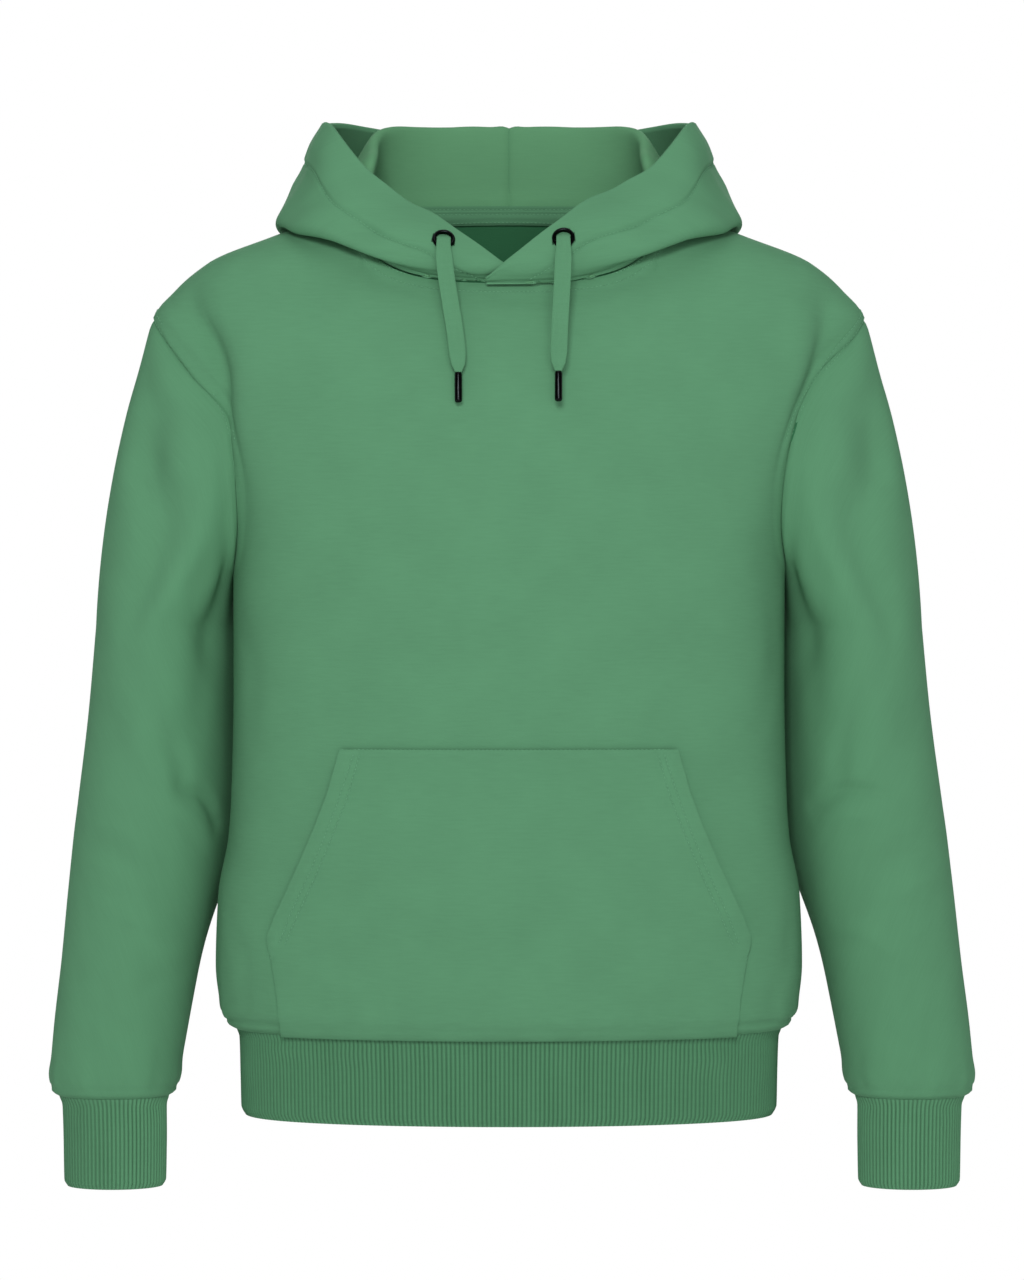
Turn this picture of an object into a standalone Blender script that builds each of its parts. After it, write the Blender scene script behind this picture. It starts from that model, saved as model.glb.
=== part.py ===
"""Pullover hoodie, worn form with no wearer: every cut piece is a cloth wall of its own.

Lengths in the tables are millimetres and angles are degrees; the meshes are built in metres.
The origin is the middle of the neck opening at the height of the shoulder seams' neck ends.
+X is the wearer's left, -Y the front, +Z up.
"""
import math

import bmesh
import bpy
import numpy as np
from mathutils import Vector

MM = 0.001

# Driving dimensions
CLOTH = 2.0              # body and sleeve fleece
HOOD_CLOTH = 1.6         # each of the hood's two layers
RIB = 3.0                # doubled rib of the cuffs and waistband
SEAM_GAP = 0.3
LAYER_GAP = 0.35
ROUNDNESS = 0.75         # under 1 makes the body's sections boxier than an ellipse
NECK_HALF_WIDTH = 116.0
NECK_DROP = 73.0         # centre front, below the origin
NECK_BACK_RISE = 8.0
NECK_SQUARENESS = 3.0
SHOULDER_Z = -88.0
UNDERARM_Z = -285.0
ARMHOLE_REACH = {"front": 23.5, "back": 25.0}    # how far the armhole is cut into each panel
HEM_Z = -645.0
SLEEVE_CAP_BULGE = 18.0
EDGE_PULL = {"across": 2.5, "up": 3.0}    # over 1 keeps an edge's curve to the rows beside it
UNDERARM_SHARE = 0.55    # height of the underarm's row on the centre line
NECK_STEPS = 6
SHOULDER_STEPS = 4
ARMHOLE_STEPS = 7
HEM_ROWS = (0.0, 5.0, 13.0, 30.0, 75.0, 130.0, 190.0, 255.0)    # side seam heights above the hem

# Body sections, from the neck down
TORSO_COLUMNS = ("z", "half_width", "front", "back")
TORSO = (
    (12, 116, 50, 78),
    (0, 116, 50, 80),
    (-3, 128, 54, 82),
    (-9, 150, 60, 84),
    (-23, 187, 72, 88),
    (-44, 232, 84, 93),
    (-66, 260, 93, 98),
    (-88, 280, 102, 103),
    (-135, 262, 116, 112),
    (-181, 241, 124, 118),
    (-225, 228, 128, 120),
    (-285, 217, 130, 119),
    (-380, 217, 128, 114),
    (-467, 219, 126, 112),
    (-495, 221, 127, 113),
    (-540, 229, 129, 116),
    (-595, 231, 129, 117),
    (-628, 227, 125, 113),
    (-639, 222, 120, 108),
    (-645, 215, 114, 102),
)

WAISTBAND_COLUMNS = ("z", "half_width", "front", "back")
WAISTBAND = (
    (-645.3, 214.5, 113.5, 101.5),
    (-652, 212, 111, 100),
    (-680, 211, 110, 99),
    (-706, 210.5, 109.5, 98.5),
    (-713, 207.5, 106.5, 95.5),
)

# Sleeve rings below the underarm: centre and half sizes of each level section
SLEEVE_COLUMNS = ("z", "x", "y", "half_width", "half_depth")
SLEEVE = (
    (-330, 275, 8, 51.5, 74),
    (-400, 278.5, 12, 54.5, 66),
    (-467, 283, 14, 58, 60),
    (-495, 285.5, 15, 59, 57),
    (-540, 291.5, 16, 57.5, 53),
    (-595, 299, 16, 55, 50),
    (-650, 307, 16, 53, 47),
    (-688, 311.5, 16, 50.5, 45),
    (-697, 312, 16, 48.5, 43),
    (-701, 312, 16, 44, 38),
)

CUFF_COLUMNS = ("z", "x", "y", "half_width", "half_depth")
CUFF = (
    (-701.3, 311.8, 16, 43.5, 37.5),
    (-709, 311.5, 16, 41, 35),
    (-740, 311, 16, 40.5, 34),
    (-768, 311, 16, 40, 33.5),
    (-773, 311, 16, 37.5, 31),
)

# Pocket rows on the front panel
POCKET_COLUMNS = ("z", "half_width")
POCKET = (
    (-424, 128),
    (-455, 135.5),
    (-485, 146.5),
    (-515, 159),
    (-543, 172),
    (-570, 184.5),
    (-594, 180),
    (-615, 176.5),
    (-632, 174.5),
    (-640, 174),
    (-644.6, 174),
)
POCKET_STEPS = 12
POCKET_LIFT = 1.2        # clear of the front panel's facets

# Hood sections round the neck seam: station 0 is the centre front, 6 the shoulder seam and
# 12 the centre back.  Each section stands on the neck seam in the upright plane at its heading
# (0 is sideways, -90 forward, 90 backward), and runs from the seam over the nape ridge, down
# the inner pouch wall, round the fold and up the belly to the face opening's rim.
HOOD_COLUMNS = (
    "station", "heading", "ridge_out", "ridge_up", "inner_out", "inner_up",
    "fold_out", "fold_up", "belly_out", "belly_up", "rim_out", "rim_up",
)
HOOD = (
    (-0.5, -90, 1, 3, 4, 5.5, 9, 9, 11, 12, 11.5, 16),
    (0.0, -90, 1, 3, 4, 6, 9, 11, 12, 19, 9, 27),
    (1.0, -82, 1, 3, 5, 6, 13, 12, 11, 27, 0, 47),
    (2.0, -66, 1, 4, 6, 6, 15, 10, 11, 31, -11, 60),
    (3.0, -45, 1, 6, 4, 6.5, 25, 3, 14, 27, -17, 58),
    (4.0, -28, 1, 13, 11, 4, 46, -11, 30, 19, -10, 53),
    (5.0, -12, 1, 27, 16, 2, 67, -24, 46, 17, 12, 66),
    (6.0, 2, 2, 41, 16, 5, 75, -19, 54, 26, 29, 68),
    (7.0, 18, 4, 52, 19, 3, 80, -26, 70, 22, 37, 68),
    (8.0, 33, 7, 60, 23, -2, 78, -57, 90, 0, 46, 66),
    (9.0, 47, 10, 64, 25, -6, 70, -104, 100, -28, 54, 64),
    (10.0, 61, 12, 65, 26, -10, 60, -132, 98, -42, 60, 62),
    (12.0, 90, 13, 65, 27, -10, 55, -150, 93, -52, 67, 61),
)
# Rows of the hood along its section: 1 is the ridge, 2 the inner wall, 3 to 4 the fold, 5 the belly
HOOD_ROWS = (0, 0.5, 0.86, 1, 1.14, 1.5, 2, 2.6, 3, 3.33, 3.67, 4, 4.5, 5, 5.4, 5.75, 6)
HOOD_FOLD_CUT = {"most": 20.0, "share": 0.42}     # how far the fold's corner is rounded off
HOOD_REST = {"height": 5.0, "from_seam": 30.0}    # how far the hood lies off the shoulders
HOOD_LIFT = {"height": 6.5, "full_to": 24.0, "gone_by": 80.0}    # left front end over the right
HOOD_LIFT_WAY = np.array([0.0, -0.95, -0.3])

NECK_TAPE = {"width": 10.0, "thickness": 1.0, "gap": 2.4, "columns": 5}

# Hardware: x and z of each eyelet on the hood's channel hem
EYELET_PLACES = {"left": (42.0, -33.0), "right": (-50.0, -34.0)}
EYELET = {"flange": 8.8, "bore": 4.7, "barrel": 5.4, "height": 2.0, "depth": 2.4, "lift": 0.5}
EYELET_HOLE = 6.0
TIP = {"radius": 2.9, "length": 23.5, "bevel": 0.9}
CORD = {"width": 12.5, "thickness": 2.6}
# Route of each free cord end from its eyelet: forward of the hood, height below and share of width
CORD_COLUMNS = ("forward", "down", "width")
CORD_ROUTE = (
    (-0.6, 0.0, 0.56),
    (3.0, 0.6, 0.60),
    (6.4, 3.6, 0.72),
    (9.0, 9.0, 0.86),
    (10.6, 16.0, 0.97),
    (12.6, 30.0, 1.0),
    (14.6, 50.0, 1.0),
    (17.6, 70.0, 0.98),
    (20.4, 86.0, 0.9),
    (22.4, 96.0, 0.6),
)
CORD_SWING = {"left": -4.0, "right": 11.5}    # sideways travel of each end

GREEN = (0.085, 0.262, 0.145, 1.0)
GREEN_RIB = (0.078, 0.245, 0.135, 1.0)
GREEN_LINING = (0.075, 0.240, 0.128, 1.0)
GREEN_BRAID = (0.095, 0.275, 0.155, 1.0)
GUNMETAL = (0.045, 0.050, 0.047, 1.0)


def smooth(at, xs, ys):
    """A smooth curve through table values that never overshoots them."""
    xs, ys = np.asarray(xs, float), np.asarray(ys, float)
    if xs[0] > xs[-1]:
        xs, ys = xs[::-1], ys[::-1]
    at = np.clip(np.asarray(at, float), xs[0], xs[-1])
    step = np.diff(xs)
    secant = np.diff(ys) / step
    slope = np.zeros(len(xs))
    slope[0], slope[-1] = secant[0], secant[-1]
    before, after = secant[:-1], secant[1:]
    same = before * after > 0
    slope[1:-1][same] = 2 * before[same] * after[same] / (before[same] + after[same])
    i = np.clip(np.searchsorted(xs, at) - 1, 0, len(xs) - 2)
    f = (at - xs[i]) / step[i]
    return ((1 + 2 * f) * (1 - f) ** 2 * ys[i] + f * (1 - f) ** 2 * step[i] * slope[i]
            + f * f * (3 - 2 * f) * ys[i + 1] + f * f * (f - 1) * step[i] * slope[i + 1])


def read(table, columns, name, at, key):
    """The named column of a table, smoothed, at the given keys."""
    xs = [row[columns.index(key)] for row in table]
    ys = [row[columns.index(name)] for row in table]
    return smooth(at, xs, ys)


def torso_point(angle, z, side):
    """A point on the body at an angle from the centre line; side is 'front' or 'back'."""
    angle, z = np.broadcast_arrays(np.radians(angle), np.asarray(z, float))
    half = read(TORSO, TORSO_COLUMNS, "half_width", z, "z")
    depth = read(TORSO, TORSO_COLUMNS, side, z, "z")
    away = -1 if side == "front" else 1
    cos = np.clip(np.cos(angle), 0, 1)
    return np.stack([half * np.sin(angle), away * depth * cos ** ROUNDNESS, z], axis=-1)


def angle_at_x(x, z):
    """The body angle at which a level section is x from the centre line."""
    half = read(TORSO, TORSO_COLUMNS, "half_width", z, "z")
    return np.degrees(np.arcsin(np.clip(x / half, -1, 1)))


def girth_table(z, side):
    """Tape length round the body from the centre line, for angles from 0 to 90."""
    angles = np.linspace(0, 90, 91)
    points = torso_point(angles, z, side)
    steps = np.linalg.norm(np.diff(points, axis=0), axis=1)
    return angles, np.concatenate([[0], np.cumsum(steps)])


def to_girth(angle, z, side):
    angles, girth = girth_table(z, side)
    return np.interp(angle, angles, girth)


def from_girth(girth, z, side):
    angles, lengths = girth_table(z, side)
    return np.interp(girth, lengths, angles)


def spread(curve, count):
    """Parameters 0..1 that cut a curve function into count equal lengths."""
    fine = np.linspace(0, 1, 121)
    points = curve(fine)
    along = np.concatenate([[0], np.cumsum(np.linalg.norm(np.diff(points, axis=0), axis=1))])
    return np.interp(np.linspace(0, along[-1], count + 1), along, fine)


def neckline(fraction, side):
    """Body angle and height along half the neckline, centre to shoulder seam."""
    turn = np.radians(90 * np.asarray(fraction, float))
    if side == "front":
        power = 2 / NECK_SQUARENESS
        x = NECK_HALF_WIDTH * np.sin(turn) ** power
        z = -NECK_DROP * np.clip(np.cos(turn), 0, 1) ** power
    else:
        x = NECK_HALF_WIDTH * np.sin(turn)
        z = NECK_BACK_RISE * np.cos(turn)
    return angle_at_x(x, z), z


def armhole(fraction, side):
    """Body angle and height along the armhole, underarm to shoulder point."""
    turn = np.pi * np.asarray(fraction, float)
    angle = 90 - ARMHOLE_REACH[side] * np.sin(turn)
    z = UNDERARM_Z + (SHOULDER_Z - UNDERARM_Z) * (1 - np.cos(turn)) / 2
    return angle, z


def flat_edge(angles, heights, side):
    """Edge points in the flat pattern: tape length from the centre line, and height."""
    return np.array([(to_girth(a, z, side), z) for a, z in zip(angles, heights)])


def coons(bottom, top, left, right):
    """The flat pattern's grid between its four edges; rows run from the bottom up."""
    rows, columns = len(left), len(bottom)
    u = np.linspace(0, 1, columns)[None, :, None] ** EDGE_PULL["across"]
    rise = (left[:, 1] - left[0, 1]) / (left[-1, 1] - left[0, 1])
    v = rise[:, None, None] ** EDGE_PULL["up"]
    edges = (1 - v) * bottom[None] + v * top[None] + (1 - u) * left[:, None] + u * right[:, None]
    corners = ((1 - u) * (1 - v) * bottom[0] + u * (1 - v) * bottom[-1]
               + (1 - u) * v * top[0] + u * v * top[-1])
    return (edges - corners).reshape(rows, columns, 2)


def half_panel(side):
    """Grid of a body panel's wearer's-left half, hem row first and centre column first."""
    neck_at = spread(lambda f: torso_point(*neckline(f, side), side), NECK_STEPS)
    neck_angle, neck_z = neckline(neck_at, side)
    shoulder_z = np.linspace(0, SHOULDER_Z, SHOULDER_STEPS + 1)[1:]
    top = flat_edge(np.append(neck_angle, np.full(SHOULDER_STEPS, 90)),
                    np.append(neck_z, shoulder_z), side)
    seam_z = HEM_Z + np.array(HEM_ROWS + (UNDERARM_Z - HEM_Z,))
    arm_angle, arm_z = armhole(np.linspace(0, 1, ARMHOLE_STEPS + 1), side)
    right = flat_edge(np.append(np.full(len(seam_z) - 1, 90), arm_angle),
                      np.append(seam_z[:-1], arm_z), side)
    columns = NECK_STEPS + SHOULDER_STEPS + 1
    hem_girth = to_girth(90, HEM_Z, side)
    bottom = np.stack([np.linspace(0, hem_girth, columns), np.full(columns, HEM_Z)], axis=-1)
    upper = UNDERARM_SHARE + (1 - UNDERARM_SHARE) * np.linspace(0, 1, ARMHOLE_STEPS + 1)
    centre_z = HEM_Z + np.append(HEM_ROWS, (neck_z[0] - HEM_Z) * upper)
    left = np.stack([np.zeros(len(centre_z)), centre_z], axis=-1)
    flat = coons(bottom, top, left, right)
    angle = np.array([[from_girth(w, z, side) for w, z in row] for row in flat])
    return torso_point(angle, flat[..., 1], side)


def unit(vectors):
    return vectors / np.maximum(np.linalg.norm(vectors, axis=-1, keepdims=True), 1e-9)


def grid_normals(grid, around=False):
    """Normals of a grid, columns crossed with rows; around closes the columns into a tube."""
    if around:
        across = np.roll(grid, -1, axis=1) - np.roll(grid, 1, axis=1)
    else:
        across = np.gradient(grid, axis=1)
    return unit(np.cross(across, np.gradient(grid, axis=0)))


def mirrored(grid):
    return grid * np.array([-1.0, 1.0, 1.0])


def both_halves(half):
    """A whole panel from its left half, whose first column is on the centre line."""
    return np.concatenate([mirrored(half[:, :0:-1]), half], axis=1)


def panel_normals(half, side):
    """Outward normals of a half panel, in the seam plane along the side and shoulder seams."""
    angle, z = angle_at_x(half[..., 0], half[..., 2]), half[..., 2]
    across = (torso_point(np.minimum(angle + 1.5, 90), z, side)
              - torso_point(np.minimum(angle + 1.5, 90) - 3, z, side))
    up = torso_point(angle, z + 2, side) - torso_point(angle, z - 2, side)
    normals = unit(np.cross(across, up)) * (1 if side == "front" else -1)
    side_rows = len(HEM_ROWS) + 1
    normals[:side_rows, -1, 1] = 0
    normals[-1, NECK_STEPS:, 1] = 0
    normals[:, 0, 0] = 0
    return unit(normals)


def pull_in(grid, edges, gap=SEAM_GAP / 2):
    """Draws the named edges of a grid back from their seams."""
    drawn = grid.copy()
    ends = {"bottom": (0, 1), "top": (-1, -2)}
    for edge in edges:
        if edge in ends:
            end, inner = ends[edge]
            drawn[end] += gap * unit(grid[inner] - grid[end])
        else:
            end, inner = {"first": (0, 1), "last": (-1, -2)}[edge]
            drawn[:, end] += gap * unit(grid[:, inner] - grid[:, end])
    return drawn


def material(name, colour, roughness, metallic=0.0):
    made = bpy.data.materials.get(name)
    if made is None:
        made = bpy.data.materials.new(name)
        made.use_nodes = True
        shader = made.node_tree.nodes["Principled BSDF"]
        shader.inputs["Base Color"].default_value = colour
        shader.inputs["Roughness"].default_value = roughness
        shader.inputs["Metallic"].default_value = metallic
    return made


def add_object(name, data, finish):
    made = bpy.data.objects.new(name, data)
    bpy.context.scene.collection.objects.link(made)
    data.materials.append(finish)
    return made


def add_wall(name, outer, inner, finish, around=False, guide=None):
    """A closed cloth wall between two grids; outer's normals point away from inner.

    Both faces split each quad along the shorter diagonal of the guide grid, so layers that
    share a guide never cross.
    """
    guide = outer if guide is None else guide
    rows, columns = outer.shape[:2]
    count = rows * columns
    points = np.concatenate([outer.reshape(-1, 3), inner.reshape(-1, 3)]) * MM
    spans = columns if around else columns - 1
    faces = []

    def at(layer, row, column):
        return layer * count + row * columns + column % columns

    for r in range(rows - 1):
        for c in range(spans):
            quad = [(r, c), (r, c + 1), (r + 1, c + 1), (r + 1, c)]
            ends = [guide[row, column % columns] for row, column in quad]
            rising = np.linalg.norm(ends[2] - ends[0]) <= np.linalg.norm(ends[3] - ends[1])
            for triangle in ((0, 1, 2), (0, 2, 3)) if rising else ((1, 2, 3), (1, 3, 0)):
                faces.append([at(0, *quad[k]) for k in triangle])
                faces.append([at(1, *quad[k]) for k in reversed(triangle)])
    for c in range(spans):
        faces.append([at(0, 0, c + 1), at(0, 0, c), at(1, 0, c), at(1, 0, c + 1)])
        faces.append([at(0, rows - 1, c), at(0, rows - 1, c + 1),
                      at(1, rows - 1, c + 1), at(1, rows - 1, c)])
    if not around:
        for r in range(rows - 1):
            faces.append([at(0, r, 0), at(0, r + 1, 0), at(1, r + 1, 0), at(1, r, 0)])
            faces.append([at(0, r + 1, columns - 1), at(0, r, columns - 1),
                          at(1, r, columns - 1), at(1, r + 1, columns - 1)])
    mesh = bpy.data.meshes.new(name)
    mesh.from_pydata(points.tolist(), [], faces)
    mesh.update()
    mesh.shade_smooth()
    mesh.set_sharp_from_angle(angle=math.radians(50))
    return add_object(name, mesh, finish)


def make_body(finish):
    """Front and back panels; returns their half grids and normals for what joins them."""
    halves = {}
    for side in ("front", "back"):
        half = half_panel(side)
        normals = panel_normals(half, side)
        halves[side] = (half, normals)
        drawn = both_halves(pull_in(half, ("top", "last")))
        both = both_halves(normals)
        inner = drawn - CLOTH * both
        if side == "back":
            drawn, inner = drawn[:, ::-1], inner[:, ::-1]
        add_wall(side, drawn, inner, finish)
    return halves


def ring_point(row, columns, table, turn):
    """Level rings of a sleeve or cuff: rows of the table against angles round the arm."""
    values = {name: np.array([r[columns.index(name)] for r in table], float)[row] for name in columns}
    x = values["x"] + values["half_width"] * np.cos(turn)
    y = values["y"] - values["half_depth"] * np.sin(turn)
    return np.stack([x, y, np.full_like(x, values["z"])], axis=-1)


def armhole_loop(halves):
    """Armhole points and body normals: shoulder point, front, underarm, back."""
    side_row = len(HEM_ROWS)
    loops = []
    for which in (0, 1):
        front = halves["front"][which][side_row:, -1][::-1]
        back = halves["back"][which][side_row + 1:-1, -1]
        loops.append(np.concatenate([front, back]))
    return loops


def sleeve_grid(halves):
    """Left sleeve, armhole row first; its columns run shoulder, front, underarm, back."""
    loop, body_normals = armhole_loop(halves)
    count = len(loop)
    turn = 2 * np.pi * np.arange(count) / count
    first_ring = ring_point(0, SLEEVE_COLUMNS, SLEEVE, turn)
    outward = np.stack([np.cos(turn), -np.sin(turn), np.zeros(count)], axis=-1)
    bulge = SLEEVE_CAP_BULGE * (1 + np.cos(turn)) / 2
    control = (loop + first_ring) / 2 + bulge[:, None] * outward
    rows = []
    for t in (0.0, 0.1, 0.3, 0.52, 0.76):
        rows.append((1 - t) ** 2 * loop + 2 * t * (1 - t) * control + t * t * first_ring)
    rows += [ring_point(i, SLEEVE_COLUMNS, SLEEVE, turn) for i in range(len(SLEEVE))]
    grid = np.array(rows)
    normals = grid_normals(grid, around=True)
    along = unit(grid[1] - grid[0])
    facing = np.sum(normals[0] * body_normals, axis=-1, keepdims=True)
    convex = np.sum(along * body_normals, axis=-1, keepdims=True) < 0
    normals[0] = np.where(convex, body_normals, normals[0])
    grid[0] += 0.35 * along + 0.5 * (1 - np.clip(facing, -1, 1)) / 2 * body_normals
    return grid, normals


def make_sleeves(halves, cloth, rib):
    grid, normals = sleeve_grid(halves)
    inner = grid - CLOTH * normals
    count = 16
    turn = 2 * np.pi * np.arange(count) / count
    cuff = np.array([ring_point(i, CUFF_COLUMNS, CUFF, turn) for i in range(len(CUFF))])
    cuff_normals = grid_normals(cuff, around=True)
    cuff_normals[..., 2] = 0
    cuff_inner = cuff - RIB * unit(cuff_normals)
    for name, flip in (("left", False), ("right", True)):
        for label, outside, inside, finish in (("sleeve", grid, inner, cloth),
                                               ("cuff", cuff, cuff_inner, rib)):
            if flip:
                outside, inside = mirrored(outside)[:, ::-1], mirrored(inside)[:, ::-1]
            add_wall(f"{label}_{name}", outside, inside, finish, around=True)


def make_waistband(finish):
    count = 10
    angles = np.linspace(0, 90, count + 1)
    rings = []
    for z, half, front, back in WAISTBAND:
        quarter = np.radians(angles)
        x, cos = half * np.sin(quarter), np.clip(np.cos(quarter), 0, 1) ** ROUNDNESS
        ahead = np.stack([x, -front * cos, np.full_like(x, z)], axis=-1)
        behind = np.stack([x, back * cos, np.full_like(x, z)], axis=-1)
        left = np.concatenate([ahead, behind[-2::-1]])
        rings.append(np.concatenate([left, mirrored(left)[-2:0:-1]]))
    grid = np.array(rings)[::-1]
    normals = grid_normals(grid, around=True)
    normals[..., 2] = 0
    add_wall("waistband", grid, grid - RIB * unit(normals), finish, around=True)


def make_pocket(finish):
    """The pocket follows the front panel, a gap away from it."""
    share = np.linspace(-1, 1, POCKET_STEPS + 1)
    rows = []
    for z, half in POCKET[::-1]:
        x = half * share
        rows.append(torso_point(angle_at_x(x, z), np.full_like(x, z), "front"))
    grid = np.array(rows)
    normals = grid_normals(grid)
    add_wall("pocket", grid + (POCKET_LIFT + CLOTH) * normals, grid + POCKET_LIFT * normals, finish)


def make_neck_tape(halves, finish):
    """A strip inside the back neck, just below the seam, on the back panel's own points."""
    half, normals = halves["back"]
    columns = NECK_TAPE["columns"]
    rows, lean = [], []
    for down in (NECK_TAPE["width"] + 1, 1):
        share = down / np.linalg.norm(half[-2, :columns] - half[-1, :columns], axis=-1)[:, None]
        rows.append(half[-1, :columns] * (1 - share) + half[-2, :columns] * share)
        lean.append(unit(normals[-1, :columns] * (1 - share) + normals[-2, :columns] * share))
    grid = both_halves(np.array(rows))[:, ::-1]
    away = both_halves(np.array(lean))[:, ::-1]
    near = CLOTH + NECK_TAPE["gap"]
    add_wall("neck_tape", grid - near * away, grid - (near + NECK_TAPE["thickness"]) * away, finish)


def hood_frame(halves):
    """Neck seam points by hood station, from the crossed front end to the centre back."""
    front = halves["front"][0][-1, :NECK_STEPS + 1]
    back = halves["back"][0][-1, :NECK_STEPS + 1][::-1]
    beyond = (front[0] + mirrored(front[1])) / 2
    stations = np.concatenate([[-0.5], np.arange(2 * NECK_STEPS + 1)])
    points = np.concatenate([[beyond], front, back[1:]])
    return stations, points


def section_curve(points, rows):
    """A smooth curve through a section's points, read at row places counted in points."""
    knots = np.concatenate([[0], np.cumsum(np.sqrt(np.linalg.norm(np.diff(points, axis=0), axis=1)))])
    slopes = np.gradient(points, knots, axis=0)
    rows = np.asarray(rows, float)
    i = np.clip(rows.astype(int), 0, len(knots) - 2)
    h = (knots[i + 1] - knots[i])[:, None]
    f = (rows - i)[:, None]
    return ((1 + 2 * f) * (1 - f) ** 2 * points[i] + f * (1 - f) ** 2 * h * slopes[i]
            + f * f * (3 - 2 * f) * points[i + 1] + f * f * (f - 1) * h * slopes[i + 1])


def body_height(x, y):
    """Height of the body's surface above a place on the plan."""
    levels = np.linspace(TORSO[0][0], -200, 425)
    half = read(TORSO, TORSO_COLUMNS, "half_width", levels, "z")
    side = "front" if y < 0 else "back"
    depth = read(TORSO, TORSO_COLUMNS, side, levels, "z")
    reach = depth * np.clip(1 - (x / half) ** 2, 0, 1) ** (ROUNDNESS / 2)
    inside = (reach >= abs(y)) & (half >= abs(x))
    return levels[np.argmax(inside)] if inside.any() else -1000.0


def rest_on_body(section):
    """Lifts a hood section clear of the body, from its seam outwards."""
    away = np.linalg.norm(section - section[0], axis=1)
    lowest = np.array([body_height(x, y) for x, y, z in section])
    lowest += HOOD_REST["height"] * np.clip(away / HOOD_REST["from_seam"], 0.1, 1)
    raised = section.copy()
    raised[:, 2] = np.maximum(section[:, 2], lowest)
    return raised


def hood_section(station, seam):
    """One upright section of the hood on its neck seam point, seam to rim."""
    value = {name: float(read(HOOD, HOOD_COLUMNS, name, station, "station"))
             for name in HOOD_COLUMNS[1:]}
    ridge, inner, fold, belly, rim = (np.array([value[f"{key}_out"], value[f"{key}_up"]])
                                      for key in ("ridge", "inner", "fold", "belly", "rim"))
    nearest = min(np.linalg.norm(inner - fold), np.linalg.norm(belly - fold))
    cut = min(HOOD_FOLD_CUT["most"], HOOD_FOLD_CUT["share"] * nearest)
    low, high = fold + cut * unit(inner - fold), fold + cut * unit(belly - fold)
    curve = section_curve(np.array([(0.0, 0.5), ridge, inner, low, high, belly, rim]), HOOD_ROWS)
    heading = math.radians(value["heading"])
    out = np.array([math.cos(heading), math.sin(heading), 0.0])
    return rest_on_body(seam + curve[:, :1] * out + curve[:, 1:] * np.array([0.0, 0.0, 1.0]))


def hood_grid(halves):
    """Outer face of the hood's left half: rows from seam to rim, columns front to back."""
    stations, seams = hood_frame(halves)
    sections = [hood_section(s, p) for s, p in zip(stations, seams)]
    return np.array(sections).transpose(1, 0, 2)


def make_hood(halves, outer_finish, lining_finish):
    grid = hood_grid(halves)
    normals = grid_normals(grid)
    normals[:, -1, 0] = 0
    normals = unit(normals)
    grid = pull_in(grid, ("last",))
    fade = HOOD_LIFT["gone_by"] - HOOD_LIFT["full_to"]
    reach = np.clip((HOOD_LIFT["gone_by"] - grid[..., 0]) / fade, 0, 1) * (grid[..., 1] < 0)
    lift = (HOOD_LIFT["height"] * reach * reach * (3 - 2 * reach))[..., None] * HOOD_LIFT_WAY
    depths = {"hood": (0.0, HOOD_CLOTH),
              "hood_lining": (HOOD_CLOTH + LAYER_GAP, 2 * HOOD_CLOTH + LAYER_GAP)}
    for label, (near, far) in depths.items():
        finish = outer_finish if label == "hood" else lining_finish
        for name, over in (("left", True), ("right", False)):
            base = grid + lift if over else grid
            layers = [base - near * normals, base - far * normals, base]
            if name == "right":
                layers = [mirrored(layer)[:, ::-1] for layer in layers]
            add_wall(f"{label}_{name}", layers[0], layers[1], finish, guide=layers[2])
    return {"left": (grid + lift, normals), "right": (mirrored(grid), mirrored(normals))}


def place_on_hood(hood, name):
    """An eyelet's seat on the hood's channel hem: the cloth's point and normal, lifted clear."""
    grid, normals = hood[name]
    x, z = EYELET_PLACES[name]
    first, steps = len(HOOD_ROWS) // 2, np.linspace(0, 1, 11)
    points, leans = [], []
    for row in range(first, len(HOOD_ROWS) - 1):
        for column in range(0, 4):
            corners = ((row, column), (row, column + 1), (row + 1, column), (row + 1, column + 1))
            for u in steps:
                for v in steps:
                    weights = ((1 - u) * (1 - v), u * (1 - v), (1 - u) * v, u * v)
                    points.append(sum(w * grid[c] for w, c in zip(weights, corners)))
                    leans.append(sum(w * normals[c] for w, c in zip(weights, corners)))
    points, leans = np.array(points), unit(np.array(leans))
    nearest = np.argmin(np.hypot(points[:, 0] - x, points[:, 2] - z))
    centre, axis = points[nearest], leans[nearest]
    near = np.linalg.norm(points - centre, axis=1) < EYELET["flange"] + 1.5
    rise = np.max((points[near] - centre) @ axis)
    return centre + (rise + EYELET["lift"]) * axis, axis


def turned(name, profile, segments, centre, axis, finish, hidden=False):
    """A body of revolution: a closed profile of (radius, height) spun about an axis."""
    spin = bmesh.new()
    ring = [spin.verts.new((r * MM, 0, h * MM)) for r, h in profile]
    closed = min(r for r, h in profile) > 0
    pairs = list(zip(ring, ring[1:] + ring[:1])) if closed else list(zip(ring, ring[1:]))
    edges = [spin.edges.new(pair) for pair in pairs]
    bmesh.ops.spin(spin, geom=ring + edges, cent=(0, 0, 0), axis=(0, 0, 1), angle=2 * math.pi,
                   steps=segments, use_merge=True, use_duplicate=False)
    bmesh.ops.remove_doubles(spin, verts=spin.verts, dist=1e-7)
    bmesh.ops.recalc_face_normals(spin, faces=spin.faces)
    mesh = bpy.data.meshes.new(name)
    spin.to_mesh(mesh)
    spin.free()
    mesh.shade_smooth()
    mesh.set_sharp_from_angle(angle=math.radians(50))
    made = add_object(name, mesh, finish)
    made.location = Vector(centre) * MM
    made.rotation_euler = Vector(axis).to_track_quat("Z", "Y").to_euler()
    if hidden:
        made.hide_render = True
        made.display_type = "WIRE"
    return made


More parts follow.
